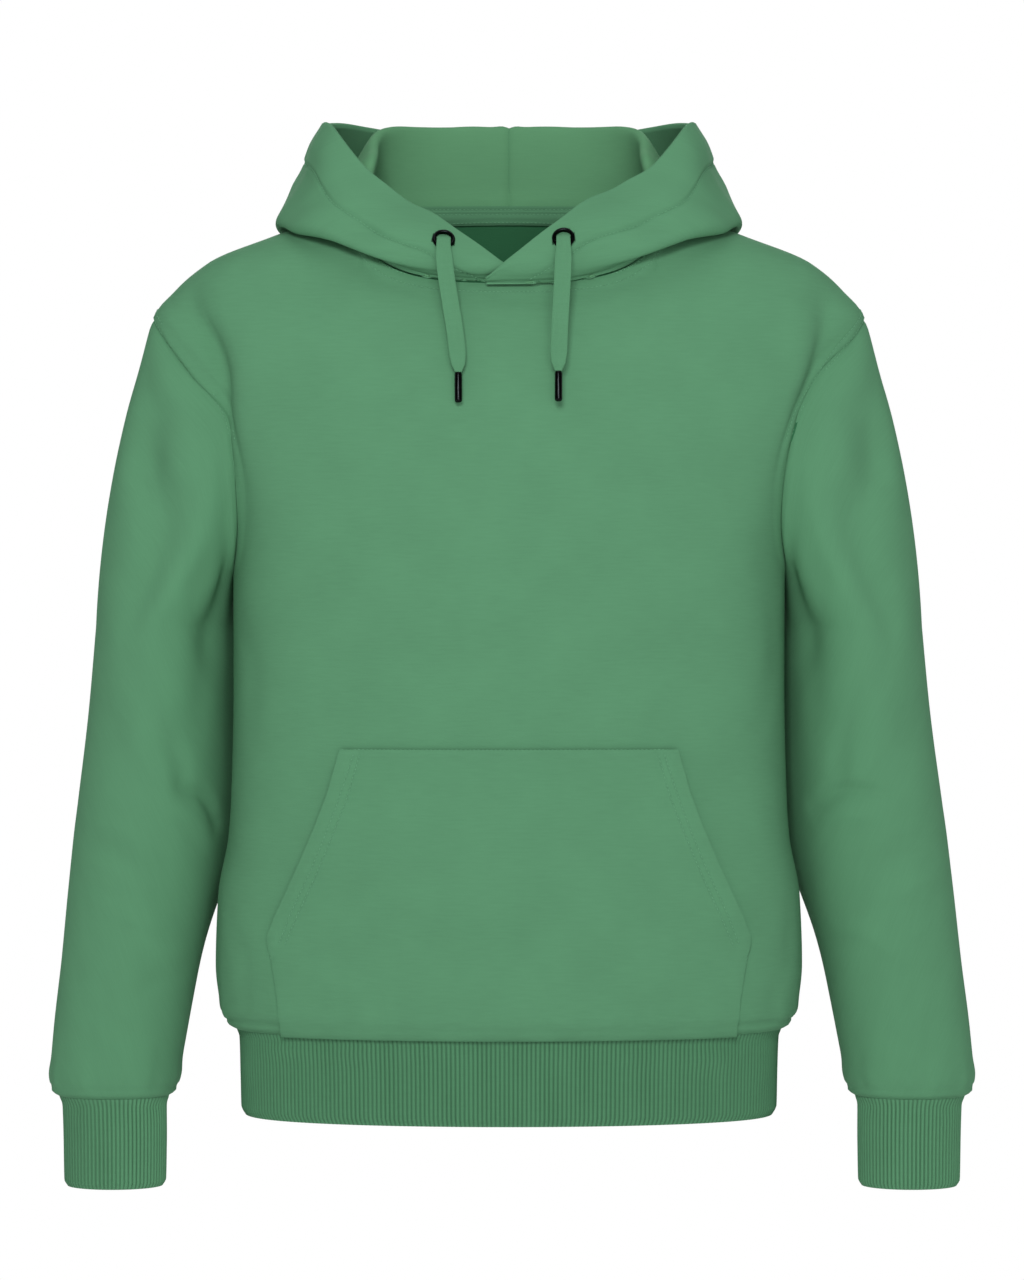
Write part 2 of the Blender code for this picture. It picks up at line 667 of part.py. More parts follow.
def make_eyelet(name, centre, axis, finish):
    """Flange in front of the cloth and a barrel through its hole."""
    low, high = 0.0, EYELET["height"]
    flange, bore, barrel = EYELET["flange"], EYELET["bore"], EYELET["barrel"]
    profile = [(bore, -EYELET["depth"]), (barrel, -EYELET["depth"]), (barrel, low),
               (flange - 0.2, low), (flange, low + 0.6), (flange - 0.9, high - 0.4),
               ((flange + bore) / 2, high), (bore + 0.6, high - 0.5)]
    turned(f"eyelet_{name}", profile, 24, centre, axis, finish)
    hole = [(0, -6), (EYELET_HOLE, -6), (EYELET_HOLE, 6), (0, 6)]
    cutter = turned(f"cutter_{name}", hole, 20, centre, axis, finish, hidden=True)
    cut = bpy.data.objects[f"hood_{name}"].modifiers.new("eyelet hole", "BOOLEAN")
    cut.object = cutter


def cord_points(name, centre):
    """The route of one free end, from its eyelet to its tip."""
    table = np.array(CORD_ROUTE, float)
    down = table[:, CORD_COLUMNS.index("down")]
    drop = down / down[-1]
    swing = CORD_SWING[name] * drop * drop * (3 - 2 * drop)
    forward = table[:, CORD_COLUMNS.index("forward")]
    return centre + np.stack([swing, -forward, -down], axis=-1), table[:, CORD_COLUMNS.index("width")]


def make_cord(name, centre, finish, metal):
    points, widths = cord_points(name, centre)
    count = 22
    along = np.concatenate([[0], np.cumsum(np.linalg.norm(np.diff(points, axis=0), axis=1))])
    even = np.linspace(0, along[-1], count)
    route = np.stack([smooth(even, along, points[:, k]) for k in range(3)], axis=-1)
    width = smooth(even, along, widths)
    data = bpy.data.curves.new(f"drawcord_{name}", "CURVE")
    data.dimensions = "3D"
    data.bevel_depth = CORD["thickness"] / 2 * MM
    data.extrude = (CORD["width"] - CORD["thickness"]) / 2 * MM
    data.bevel_resolution = 2
    data.use_fill_caps = True
    data.twist_mode = "MINIMUM"
    spline = data.splines.new("POLY")
    spline.points.add(count - 1)
    for point, place, size in zip(spline.points, route, width):
        point.co = (*(place * MM), 1)
        point.radius = size
        point.tilt = math.pi / 2
    add_object(f"drawcord_{name}", data, finish)
    end = route[-1]
    direction = unit(route[-1] - route[-3])
    radius, length, bevel = TIP["radius"], TIP["length"], TIP["bevel"]
    profile = [(0, 0), (radius - bevel, 0), (radius, bevel), (radius, length - bevel),
               (radius - bevel, length), (0, length)]
    turned(f"tip_{name}", profile, 16, end + SEAM_GAP * direction, direction, metal)


def main():
    for old in list(bpy.data.objects):
        bpy.data.objects.remove(old, do_unlink=True)
    cloth = material("green_fleece", GREEN, 0.9)
    rib = material("green_rib", GREEN_RIB, 0.9)
    lining = material("green_lining", GREEN_LINING, 0.92)
    cord = material("green_braid", GREEN_BRAID, 0.85)
    metal = material("gunmetal", GUNMETAL, 0.35, 1.0)
    halves = make_body(cloth)
    make_sleeves(halves, cloth, rib)
    make_waistband(rib)
    make_pocket(cloth)
    make_neck_tape(halves, cloth)
    hood = make_hood(halves, cloth, lining)
    for name in ("left", "right"):
        centre, axis = place_on_hood(hood, name)
        make_eyelet(name, centre, axis, metal)
        make_cord(name, centre, cord, metal)


main()
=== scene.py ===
# Pullover hoodie in its worn shape with no wearer: what the eye sees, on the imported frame.
# Tables are in millimetres and degrees, meshes in metres. +X is the wearer's left, -Y the front.
import math

import bpy
import numpy as np
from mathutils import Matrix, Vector
from mathutils.bvhtree import BVHTree


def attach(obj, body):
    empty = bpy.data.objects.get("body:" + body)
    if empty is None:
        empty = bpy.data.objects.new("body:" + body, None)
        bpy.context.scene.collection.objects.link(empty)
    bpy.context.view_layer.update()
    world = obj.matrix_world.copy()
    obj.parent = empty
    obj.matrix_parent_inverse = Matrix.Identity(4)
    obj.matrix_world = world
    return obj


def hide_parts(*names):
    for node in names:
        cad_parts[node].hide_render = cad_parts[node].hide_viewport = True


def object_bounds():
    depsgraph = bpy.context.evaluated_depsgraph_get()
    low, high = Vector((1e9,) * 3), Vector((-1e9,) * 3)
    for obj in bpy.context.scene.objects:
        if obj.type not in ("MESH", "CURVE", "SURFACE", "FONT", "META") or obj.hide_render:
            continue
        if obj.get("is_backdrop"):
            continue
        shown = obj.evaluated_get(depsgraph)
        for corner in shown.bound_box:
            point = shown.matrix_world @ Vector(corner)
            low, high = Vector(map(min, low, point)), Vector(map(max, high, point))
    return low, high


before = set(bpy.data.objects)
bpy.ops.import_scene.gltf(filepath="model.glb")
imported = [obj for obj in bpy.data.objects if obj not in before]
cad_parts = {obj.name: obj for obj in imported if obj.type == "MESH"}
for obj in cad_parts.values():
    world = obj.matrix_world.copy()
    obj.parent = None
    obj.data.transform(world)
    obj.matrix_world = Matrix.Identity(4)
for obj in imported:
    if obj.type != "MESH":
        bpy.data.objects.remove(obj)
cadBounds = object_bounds()
mm = 0.001


# Small helpers

def deselectAll():
    for other in bpy.context.selected_objects:
        other.select_set(False)


def useOnly(thing):
    deselectAll()
    bpy.context.view_layer.objects.active = thing
    thing.select_set(True)


def unit(vectors):
    return vectors / np.maximum(np.linalg.norm(vectors, axis=-1, keepdims=True), 1e-9)


def smoothStep(value, low, high):
    share = np.clip((value - low) / (high - low), 0, 1)
    return share * share * (3 - 2 * share)


def bump(distance, width):
    return np.exp(-(distance / width) ** 2)


def smoothCurve(at, xs, ys):    # passes through every table value without overshooting
    xs, ys = np.asarray(xs, float), np.asarray(ys, float)
    if xs[0] > xs[-1]:
        xs, ys = xs[::-1], ys[::-1]
    at = np.clip(np.asarray(at, float), xs[0], xs[-1])
    step = np.diff(xs)
    secant = np.diff(ys) / step
    slope = np.zeros(len(xs))
    slope[0], slope[-1] = secant[0], secant[-1]
    before, after = secant[:-1], secant[1:]
    same = before * after > 0
    slope[1:-1][same] = 2 * before[same] * after[same] / (before[same] + after[same])
    i = np.clip(np.searchsorted(xs, at) - 1, 0, len(xs) - 2)
    f = (at - xs[i]) / step[i]
    return ((1 + 2 * f) * (1 - f) ** 2 * ys[i] + f * (1 - f) ** 2 * step[i] * slope[i]
            + f * f * (3 - 2 * f) * ys[i + 1] + f * f * (f - 1) * step[i] * slope[i + 1])


def column(table, name, at):    # a named column of a table, read smoothly by its first column
    names, rows = table
    keys = [row[0] for row in rows]
    values = [row[names.index(name)] for row in rows]
    return smoothCurve(at, keys, values)


def gridNormals(grid, around=False):
    if around:
        across = np.roll(grid, -1, axis=1) - np.roll(grid, 1, axis=1)
    else:
        across = np.gradient(grid, axis=1)
    return unit(np.cross(across, np.gradient(grid, axis=0)))


def mirrored(grid):
    return grid * np.array([-1.0, 1.0, 1.0])


def edgeDistance(points, path):    # distance of every point from an edge's own points
    flat = points.reshape(-1, 3)
    best = np.full(len(flat), 1e9)
    for spot in path:
        best = np.minimum(best, np.sum((flat - spot) ** 2, axis=1))
    return np.sqrt(best).reshape(points.shape[:-1])


def runAlong(points):    # length run from the start of a path, or down each column of a grid
    steps = np.linalg.norm(np.diff(points, axis=0), axis=-1)
    return np.concatenate([np.zeros((1,) + steps.shape[1:]), np.cumsum(steps, axis=0)])


def resample(path, count):
    along = runAlong(path)
    even = np.linspace(0, along[-1], count)
    return np.stack([np.interp(even, along, path[:, k]) for k in range(path.shape[1])], axis=-1)


def pathLength(path):
    return float(np.sum(np.linalg.norm(np.diff(path, axis=0), axis=1)))


def softFolds(u, v, folds, wrap=None):
    # each fold is a soft trough (depth below 0) or ridge along a line from u0, v0 to u1, v1
    total = np.zeros(np.shape(u))
    for u0, v0, u1, v1, height, width in folds:
        du, dv = u1 - u0, v1 - v0
        length = math.hypot(du, dv)
        pu = u - u0
        if wrap:
            pu = (pu + wrap / 2) % wrap - wrap / 2
        along = (pu * du + (v - v0) * dv) / length
        off = (-pu * dv + (v - v0) * du) / length
        bend = 0.12 * length * np.sin(np.pi * np.clip(along / length, 0, 1))
        past = np.maximum(np.maximum(-along, along - length), 0)
        taper = 0.55 + 0.45 * np.sin(np.pi * np.clip(along / length, 0, 1))
        total += height * taper * bump(off - bend, width) * bump(past, width * 1.4)
    return total


def ripple(at, waves):    # uneven gathers: each wave is length, height and start
    return sum(height * np.sin(2 * np.pi * at / length + start) for length, height, start in waves)


def clothMesh(name, grid, uv, around=False):
    rows, columns = grid.shape[:2]
    spans = columns if around else columns - 1
    faces = [(r * columns + c, r * columns + (c + 1) % columns,
              (r + 1) * columns + (c + 1) % columns, (r + 1) * columns + c)
             for r in range(rows - 1) for c in range(spans)]
    mesh = bpy.data.meshes.new(name)
    mesh.from_pydata((grid.reshape(-1, 3) * mm).tolist(), [], faces)
    layer = mesh.uv_layers.new(name="cloth")
    r, c = np.divmod(np.arange((rows - 1) * spans), spans)
    corners = np.stack([uv[r, c], uv[r, c + 1], uv[r + 1, c + 1], uv[r + 1, c]], axis=1)
    layer.data.foreach_set("uv", (corners.reshape(-1, 2) * mm).ravel())
    made = bpy.data.objects.new(name, mesh)
    bpy.context.scene.collection.objects.link(made)
    return made


def thicken(piece, thickness, inside=None):
    useOnly(piece)
    if inside:
        piece.data.materials.append(inside)
        piece.data.materials.append(inside)
    wall = piece.modifiers.new("wall", "SOLIDIFY")
    wall.thickness = thickness * mm
    wall.offset = -1
    wall.use_even_offset = False
    # inner faces take the inside finish, a darker colour painted as shade inside the body
    wall.material_offset = 1 if inside else 0
    bpy.ops.object.modifier_apply(modifier="wall")
    bpy.ops.object.shade_smooth_by_angle(angle=math.radians(62))


def finishPiece(piece, finish, slot, *nodes):
    if len(piece.data.materials) > 1:
        piece.data.materials[0] = finish
    else:
        piece.data.materials.clear()
        piece.data.materials.append(finish)
    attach(piece, "root")
    if nodes:
        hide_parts(*nodes)


# Camera, floor and light

studio = {
    "cameraDistance": 3.3, "aimX": 0.0024, "aimZ": -0.3405, "pictureHeight": 1.0112,
    "floorDrop": 0.5, "ambient": 0.08,
}
lights = (    # name, place, aim, width, height, watts
    ("keySoftbox", (-0.3, -3.6, 0.95), (0, 0, -0.3), 1.0, 0.9, 84),
    ("fillSoftbox", (0.8, -3.6, 0.15), (0, 0, -0.4), 1.0, 1.2, 25),
    ("topSoftbox", (0, -0.3, 2.6), (0, 0, -0.2), 2.4, 1.6, 34),
    ("leftStrip", (-3.0, 0.4, 0.3), (0, 0, -0.3), 0.8, 2.4, 9),
    ("rightStrip", (3.0, 0.4, 0.3), (0, 0, -0.3), 0.8, 2.4, 11),
    ("backSoftbox", (0, 3.6, 1.4), (0, 0, -0.2), 2.4, 2.0, 70),
)


def linear(value):    # sRGB hex to the linear colour that nodes take
    parts = [int(value[i:i + 2], 16) / 255 for i in (1, 3, 5)]
    return (*[p / 12.92 if p <= 0.04045 else ((p + 0.055) / 1.055) ** 2.4 for p in parts], 1)


def addNode(tree, kind, links=(), **settings):
    node = tree.nodes.new(kind)
    for name, value in settings.items():
        if name in node.bl_rna.properties:
            setattr(node, name, value)
        else:
            node.inputs[name.replace("_", " ")].default_value = value
    for source, socket in links:
        tree.links.new(source, node.inputs[socket])
    return node


def makeStudio():
    scene = bpy.context.scene
    lens = bpy.data.cameras.new("camera")
    lens.sensor_width = 36
    lens.lens = 36 * studio["cameraDistance"] / studio["pictureHeight"]
    lens.clip_end = 50
    camera = bpy.data.objects.new("camera", lens)
    camera.location = (studio["aimX"], -studio["cameraDistance"], studio["aimZ"])
    camera.rotation_euler = (math.radians(90), 0, 0)
    scene.collection.objects.link(camera)
    scene.camera = camera
    scene.view_settings.view_transform = "Standard"
    for name, place, aim, width, height, watts in lights:
        lamp = bpy.data.lights.new(name, "AREA")
        lamp.shape = "RECTANGLE"
        lamp.size, lamp.size_y, lamp.energy = width, height, watts
        holder = bpy.data.objects.new(name, lamp)
        holder.location = place
        holder.rotation_euler = (Vector(aim) - Vector(place)).to_track_quat("-Z", "Y").to_euler()
        scene.collection.objects.link(holder)
    world = bpy.data.worlds.new("whiteStudio")
    world.use_nodes = True
    tree = world.node_tree
    tree.nodes.clear()
    rays = addNode(tree, "ShaderNodeLightPath")
    soft = addNode(tree, "ShaderNodeBackground", Color=(1, 1, 1, 1), Strength=studio["ambient"])
    white = addNode(tree, "ShaderNodeBackground", Color=(1, 1, 1, 1), Strength=1.0)
    both = addNode(tree, "ShaderNodeMixShader", [(rays.outputs["Is Camera Ray"], 0),
                                                 (soft.outputs[0], 1), (white.outputs[0], 2)])
    addNode(tree, "ShaderNodeOutputWorld", [(both.outputs[0], 0)])
    scene.world = world


def makeFloor():
    # matt white painted studio floor that runs out into the white surround
    paint = bpy.data.materials.new("mattWhiteStudioPaint")
    paint.use_nodes = True
    tree = paint.node_tree
    shader = tree.nodes["Principled BSDF"]
    shader.inputs["Roughness"].default_value = 0.9
    shader.inputs["Base Color"].default_value = linear("#f6f6f5")
    shader.inputs["Specular IOR Level"].default_value = 0.2
    glow = addNode(tree, "ShaderNodeEmission", Color=(1, 1, 1, 1), Strength=1.0)
    place = addNode(tree, "ShaderNodeTexCoord")
    away = addNode(tree, "ShaderNodeVectorMath", [(place.outputs["Object"], 0)], operation="LENGTH")
    share = addNode(tree, "ShaderNodeMapRange", [(away.outputs["Value"], "Value")])
    share.inputs["From Min"].default_value, share.inputs["From Max"].default_value = 1.4, 3.0
    both = addNode(tree, "ShaderNodeMixShader", [(share.outputs["Result"], 0),
                                                 (shader.outputs[0], 1), (glow.outputs[0], 2)])
    tree.links.new(both.outputs[0], tree.nodes["Material Output"].inputs["Surface"])
    deselectAll()
    low = cadBounds[0][2] - studio["floorDrop"]
    bpy.ops.mesh.primitive_circle_add(vertices=96, radius=14, fill_type="NGON", location=(0, 0, low))
    floor = bpy.context.object
    floor.name = "studioFloor"
    bpy.ops.object.transform_apply(location=True, rotation=True, scale=True)
    floor.data.materials.append(paint)
    floor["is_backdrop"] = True


makeStudio()
makeFloor()
print("studio ready")


# The body's form

body = {
    "cloth": 2.0, "roundness": 0.75, "neckHalfWidth": 116.0, "neckDrop": 66.0, "neckBackRise": 8.0,
    "neckSquareness": 3.0, "shoulderZ": -88.0, "underarmZ": -285.0, "hemZ": -645.0,
    "armholeReach": {"front": 23.5, "back": 25.0}, "armholeEase": 0.12, "underarmShare": 0.55,
    "neckColumns": 36, "shoulderColumns": 24, "armholeRows": 44, "lowerRows": 70,
}
torso = (("z", "halfWidth", "front", "back"), (
    (12, 116, 50, 78),
    (0, 116, 50, 80),
    (-3, 128, 54, 82),
    (-9, 149, 60, 84),
    (-23, 187, 70, 88),
    (-44, 239, 84, 93),
    (-66, 264, 93, 98),
    (-88, 280, 102, 103),
    (-135, 262, 116, 112),
    (-181, 241, 124, 118),
    (-225, 228, 128, 120),
    (-285, 217, 130, 119),
    (-380, 217, 128, 114),
    (-467, 219, 126, 112),
    (-495, 221, 127, 113),
    (-540, 229, 129, 116),
    (-595, 231, 129, 117),
    (-628, 227, 125, 113),
    (-639, 222, 120, 108),
    (-645, 215, 114, 102),
))


def torsoPoint(angle, z, side):
    angle, z = np.broadcast_arrays(np.radians(angle), np.asarray(z, float))
    half = column(torso, "halfWidth", z)
    depth = column(torso, side, z) * (-1 if side == "front" else 1)
    cos = np.clip(np.cos(angle), 0, 1)
    return np.stack([half * np.sin(angle), depth * cos ** body["roundness"], z], axis=-1)


def angleAtX(x, z):
    return np.degrees(np.arcsin(np.clip(x / column(torso, "halfWidth", z), -1, 1)))


def girthRows(side):    # tape length round the body from its centre line, by level and angle
    levels = np.linspace(12, body["hemZ"], 240)
    points = torsoPoint(np.linspace(0, 90, 91)[None], levels[:, None], side)
    steps = np.linalg.norm(np.diff(points, axis=1), axis=-1)
    return levels, np.concatenate([np.zeros((len(levels), 1)), np.cumsum(steps, axis=1)], axis=1)


girths = {side: girthRows(side) for side in ("front", "back")}


def girthsAt(z, side):
    levels, rows = girths[side]
    place = np.clip((levels[0] - z) / (levels[0] - levels[-1]), 0, 0.99999) * (len(levels) - 1)
    low = place.astype(int)
    share = (place - low)[..., None]
    return rows[low] * (1 - share) + rows[low + 1] * share


def girthAt(angle, z, side):
    angle, z = np.broadcast_arrays(np.asarray(angle, float), np.asarray(z, float))
    rows = girthsAt(z, side)
    low = np.clip(angle.astype(int), 0, 89)
    near = np.take_along_axis(rows, low[..., None], -1)[..., 0]
    far = np.take_along_axis(rows, low[..., None] + 1, -1)[..., 0]
    return near + (angle - low) * (far - near)


def angleAtGirth(girth, z, side):
    rows = girthsAt(z, side)
    return np.clip((girth[..., None] - rows[..., :-1]) / np.diff(rows, axis=-1), 0, 1).sum(axis=-1)


def neckline(share, side):    # body angle and height along half the neckline, centre to shoulder
    turn = np.radians(90 * np.asarray(share, float))
    if side == "front":
        power = 2 / body["neckSquareness"]
        x = body["neckHalfWidth"] * np.sin(turn) ** power
        z = -body["neckDrop"] * np.clip(np.cos(turn), 0, 1) ** power
    else:
        x = body["neckHalfWidth"] * np.sin(turn)
        z = body["neckBackRise"] * np.cos(turn)
    return angleAtX(x, z), z


def evenNeck(side, count):
    fine = np.linspace(0, 1, 241)
    path = torsoPoint(*neckline(fine, side), side)
    along = runAlong(path)
    return np.interp(np.linspace(0, along[-1], count + 1), along, fine)


def armhole(share, side):    # body angle and height along the armhole, underarm to shoulder
    share = np.asarray(share, float)
    turn = np.pi * share
    flatter = 1 - body["armholeEase"] * bump(share - 0.72, 0.15)
    angle = 90 - body["armholeReach"][side] * np.sin(turn) * flatter
    rise = body["shoulderZ"] - body["underarmZ"]
    return angle, body["underarmZ"] + rise * (1 - np.cos(turn)) / 2


def halfPanel(side):    # flat pattern of a panel's left half between its seams, then put on the body
    neckAngle, neckZ = neckline(evenNeck(side, body["neckColumns"]), side)
    shoulderZ = np.linspace(0, body["shoulderZ"], body["shoulderColumns"] + 1)[1:]
    topAngle = np.append(neckAngle, np.full(body["shoulderColumns"], 90.0))
    topZ = np.append(neckZ, shoulderZ)
    top = np.stack([girthAt(topAngle, topZ, side), topZ], axis=-1)
    fine = np.linspace(0, 1, body["lowerRows"] + 1)
    heights = (body["underarmZ"] - body["hemZ"]) * (0.35 * fine + 0.65 * fine ** 2)
    armAngle, armZ = armhole(np.linspace(0, 1, body["armholeRows"] + 1), side)
    rightAngle = np.append(np.full(body["lowerRows"], 90.0), armAngle)
    rightZ = np.append(body["hemZ"] + heights[:-1], armZ)
    right = np.stack([girthAt(rightAngle, rightZ, side), rightZ], axis=-1)
    columns = body["neckColumns"] + body["shoulderColumns"] + 1
    wide = girthAt(90.0, body["hemZ"], side)
    bottom = np.stack([np.linspace(0, wide, columns), np.full(columns, body["hemZ"])], axis=-1)
    span = neckZ[0] - body["hemZ"]
    reach = body["underarmShare"] * span
    eased = 255 + (heights - 255) / (heights[-1] - 255) * (reach - 255)
    centre = np.where(heights < 255, heights, eased)
    upper = reach + (span - reach) * np.linspace(0, 1, body["armholeRows"] + 1)
    leftZ = body["hemZ"] + np.append(centre[:-1], upper)
    left = np.stack([np.zeros(len(leftZ)), leftZ], axis=-1)
    u = np.linspace(0, 1, columns)[None, :, None] ** 2.5
    v = ((rightZ - rightZ[0]) / (rightZ[-1] - rightZ[0]))[:, None, None] ** 3
    edges = (1 - v) * bottom[None] + v * top[None] + (1 - u) * left[:, None] + u * right[:, None]
    corners = ((1 - u) * (1 - v) * bottom[0] + u * (1 - v) * bottom[-1]
               + (1 - u) * v * top[0] + u * v * top[-1])
    flat = edges - corners
    return torsoPoint(angleAtGirth(flat[..., 0], flat[..., 1], side), flat[..., 1], side), flat


def bodyNormals(points, side):    # of the body's own surface, even where the cloth folds over a seam
    z = points[..., 2]
    angle = angleAtX(np.abs(points[..., 0]), z)
    far = np.minimum(angle + 1.5, 90)
    across = torsoPoint(far, z, side) - torsoPoint(far - 3, z, side)
    up = torsoPoint(angle, z + 2, side) - torsoPoint(angle, z - 2, side)
    normals = unit(np.cross(across, up)) * (1 if side == "front" else -1)
    normals[..., 0] *= np.where(points[..., 0] < 0, -1, 1)
    return normals


def wholePanel(half):
    return np.concatenate([mirrored(half[:, :0:-1]), half], axis=1)


# soft folds of the body: girth and height of both ends, height of the fold, width
frontFolds = (
    (-264, -76, -244, -174, -9.0, 18),
    (-254, -80, -234, -168, -8.0, 10),
    (262, -80, 242, -174, -7.0, 18),
    (252, -82, 236, -158, -5.5, 10),
    (-228, -96, -214, -190, 2.6, 13),
    (226, -98, 212, -190, 2.2, 13),
    (-232, -176, -240, -290, -2.6, 13),
    (-238, -190, -246, -300, 1.6, 16),
    (238, -190, 244, -300, 2.2, 16),
    (-205, -120, -190, -230, 1.6, 26),
    (205, -118, 188, -224, 1.6, 26),
    (-150, -86, -92, -128, -1.8, 15),
    (146, -86, 88, -130, -1.8, 15),
    (-232, -330, -214, -402, -1.6, 12),
    (226, -318, 210, -398, -1.5, 13),
    (-120, -300, -60, -352, 1.2, 22),
    (128, -288, 56, -360, 1.1, 24),
    (-236, -560, -214, -626, -1.4, 9),
    (238, -548, 214, -622, -1.4, 10),
)
backFolds = (
    (-262, -96, -232, -190, -7.2, 17),
    (262, -96, 232, -190, -7.2, 17),
    (-230, -240, -120, -330, -3.5, 16),
    (226, -246, 112, -340, -3.2, 18),
    (-218, -330, -84, -420, 2.9, 18),
    (214, -344, 92, -428, 3.0, 17),
    (-226, -470, -110, -520, -2.9, 13),
    (222, -480, 96, -526, -2.7, 14),
    (-170, -560, -70, -600, 2.4, 11),
    (176, -548, 60, -606, 2.2, 12),
    (-60, -200, 40, -232, 2.2, 26),
)
hemGather = {"above": 26.0,
             "waves": ((37, 0.55, 0.3), (23, 0.42, 1.7), (14.5, 0.25, 4.0), (61, 0.5, 2.2))}


def bodyRelief(points, flat, side, edges):
    z = flat[..., 1]
    relief = softFolds(flat[..., 0], z, frontFolds if side == "front" else backFolds)
    for name in ("shoulder", "side"):    # folds die out at the seams, so the panels still meet
        if name in edges:
            relief *= smoothStep(edgeDistance(points, edges[name]), -2, 16)
    above = z - body["hemZ"]
    start = 0.0 if side == "front" else 2.4
    gathers = ripple(flat[..., 0] + 9 * start, hemGather["waves"])
    relief += gathers * smoothStep(above, 3, 9) * np.exp(-above / hemGather["above"])
    relief += 1.2 * bump(above - 3.4, 2.8) - 1.3 * bump(above - 8.0, 1.5) + 1.0 * bump(above - 15, 8)
    for name, path in edges.items():
        away = edgeDistance(points, path)
        if name == "armhole":
            seen = (0.15 + 0.85 * smoothStep(z, -225, -170)) * (1 - 0.8 * smoothStep(z, -112, -92))
            relief += seen * (1.1 * bump(away - 5, 3.3) - 0.8 * bump(away, 1.5)
                              - 1.4 * bump(away - 11, 2.5))
        elif name == "neck":
            relief += 1.2 * bump(away - 5, 3.6) - 1.1 * bump(away, 1.8) - 1.0 * bump(away - 11.5, 2)
        else:
            tip = smoothStep(np.abs(points[..., 0]), 256, 276)    # flat again at the shoulder's end
            relief += (0.4 * bump(away - 3, 2.4) - 1.2 * bump(away, 1.3)) * (1 - 0.85 * tip)
    return relief


def seamPaths(half):    # the left half's seams as dense points
    lower = body["lowerRows"]
    return {
        "armhole": resample(half[lower:, -1], 160),
        "shoulder": resample(half[-1, body["neckColumns"]:], 90),
        "side": resample(half[:lower + 1, -1], 140),
        "neck": resample(half[-1, :body["neckColumns"] + 1], 110),
    }


def makeBody(finish, inside):
    made = {}
    for side in ("front", "back"):
        half, flatHalf = halfPanel(side)
        grid = wholePanel(half)
        flat = np.concatenate([flatHalf[:, :0:-1] * np.array([-1, 1]), flatHalf], axis=1)
        edges = {}
        for name, path in seamPaths(half).items():
            edges[name] = np.concatenate([path, mirrored(path)])
        normals = bodyNormals(grid, side)
        normals[:, [0, -1], 1] *= 0
        grid = grid + bodyRelief(grid, flat, side, edges)[..., None] * unit(normals)
        uv = flat.copy()
        lower = body["lowerRows"]
        armEdges = {"left": grid[lower:, -1].copy(), "right": mirrored(grid[lower:, 0])}
        if side == "back":
            grid, uv = grid[:, ::-1], uv[:, ::-1]
        piece = clothMesh(side + "Panel", grid, uv)
        thicken(piece, body["cloth"], inside)
        finishPiece(piece, finish, "green_fleece", side)
        made[side] = (piece, grid, half, armEdges)
        print(side, "panel made")
    return made


# Sleeves, cuffs and waistband

sleeve = {"cloth": 2.0, "capBulge": 18.0, "around": 112, "capRows": 34, "lowerRows": 120,
          "flatRadius": 57.0, "foldFade": 20.0, "seamPuff": 1.1, "seamDip": 0.2,
          "followsBody": 26.0, "allowance": 4.5, "allowanceDepth": 3.4, "tucked": 19.0,
          "reach": {"left": 6.5, "right": 1.5}}
sleeveRings = (("z", "x", "y", "halfWidth", "halfDepth"), (
    (-330, 275, 8, 51.5, 74),
    (-400, 278.5, 12, 54.5, 66),
    (-467, 283, 14, 58, 60),
    (-495, 285.5, 15, 59, 57),
    (-540, 291.5, 16, 57.5, 53),
    (-595, 299, 16, 55, 50),
    (-650, 307, 16, 53, 47),
    (-688, 311.5, 16, 50.5, 45),
    (-697, 312, 16, 48.5, 43),
    (-701, 312, 16, 44, 38),
))
cuff = {"rib": 3.0, "ribPitch": 3.3, "ribDepth": 0.85, "perRib": 6, "rows": 26}
cuffRings = (("z", "x", "y", "halfWidth", "halfDepth"), (
    (-701.3, 311.8, 16, 43.5, 37.5),
    (-709, 311.5, 16, 41, 35),
    (-740, 311, 16, 40.5, 34),
    (-768, 311, 16, 40, 33.5),
    (-773, 311, 16, 37.5, 31),
))
waistband = {"rib": 3.0, "ribPitch": 3.4, "ribDepth": 0.85, "perRib": 6, "rows": 24}
waistRings = (("z", "halfWidth", "front", "back"), (
    (-645.3, 214.5, 113.5, 101.5),
    (-652, 212, 111, 100),
    (-680, 211, 110, 99),
    (-706, 210.5, 109.5, 98.5),
    (-713, 207.5, 106.5, 95.5),
))
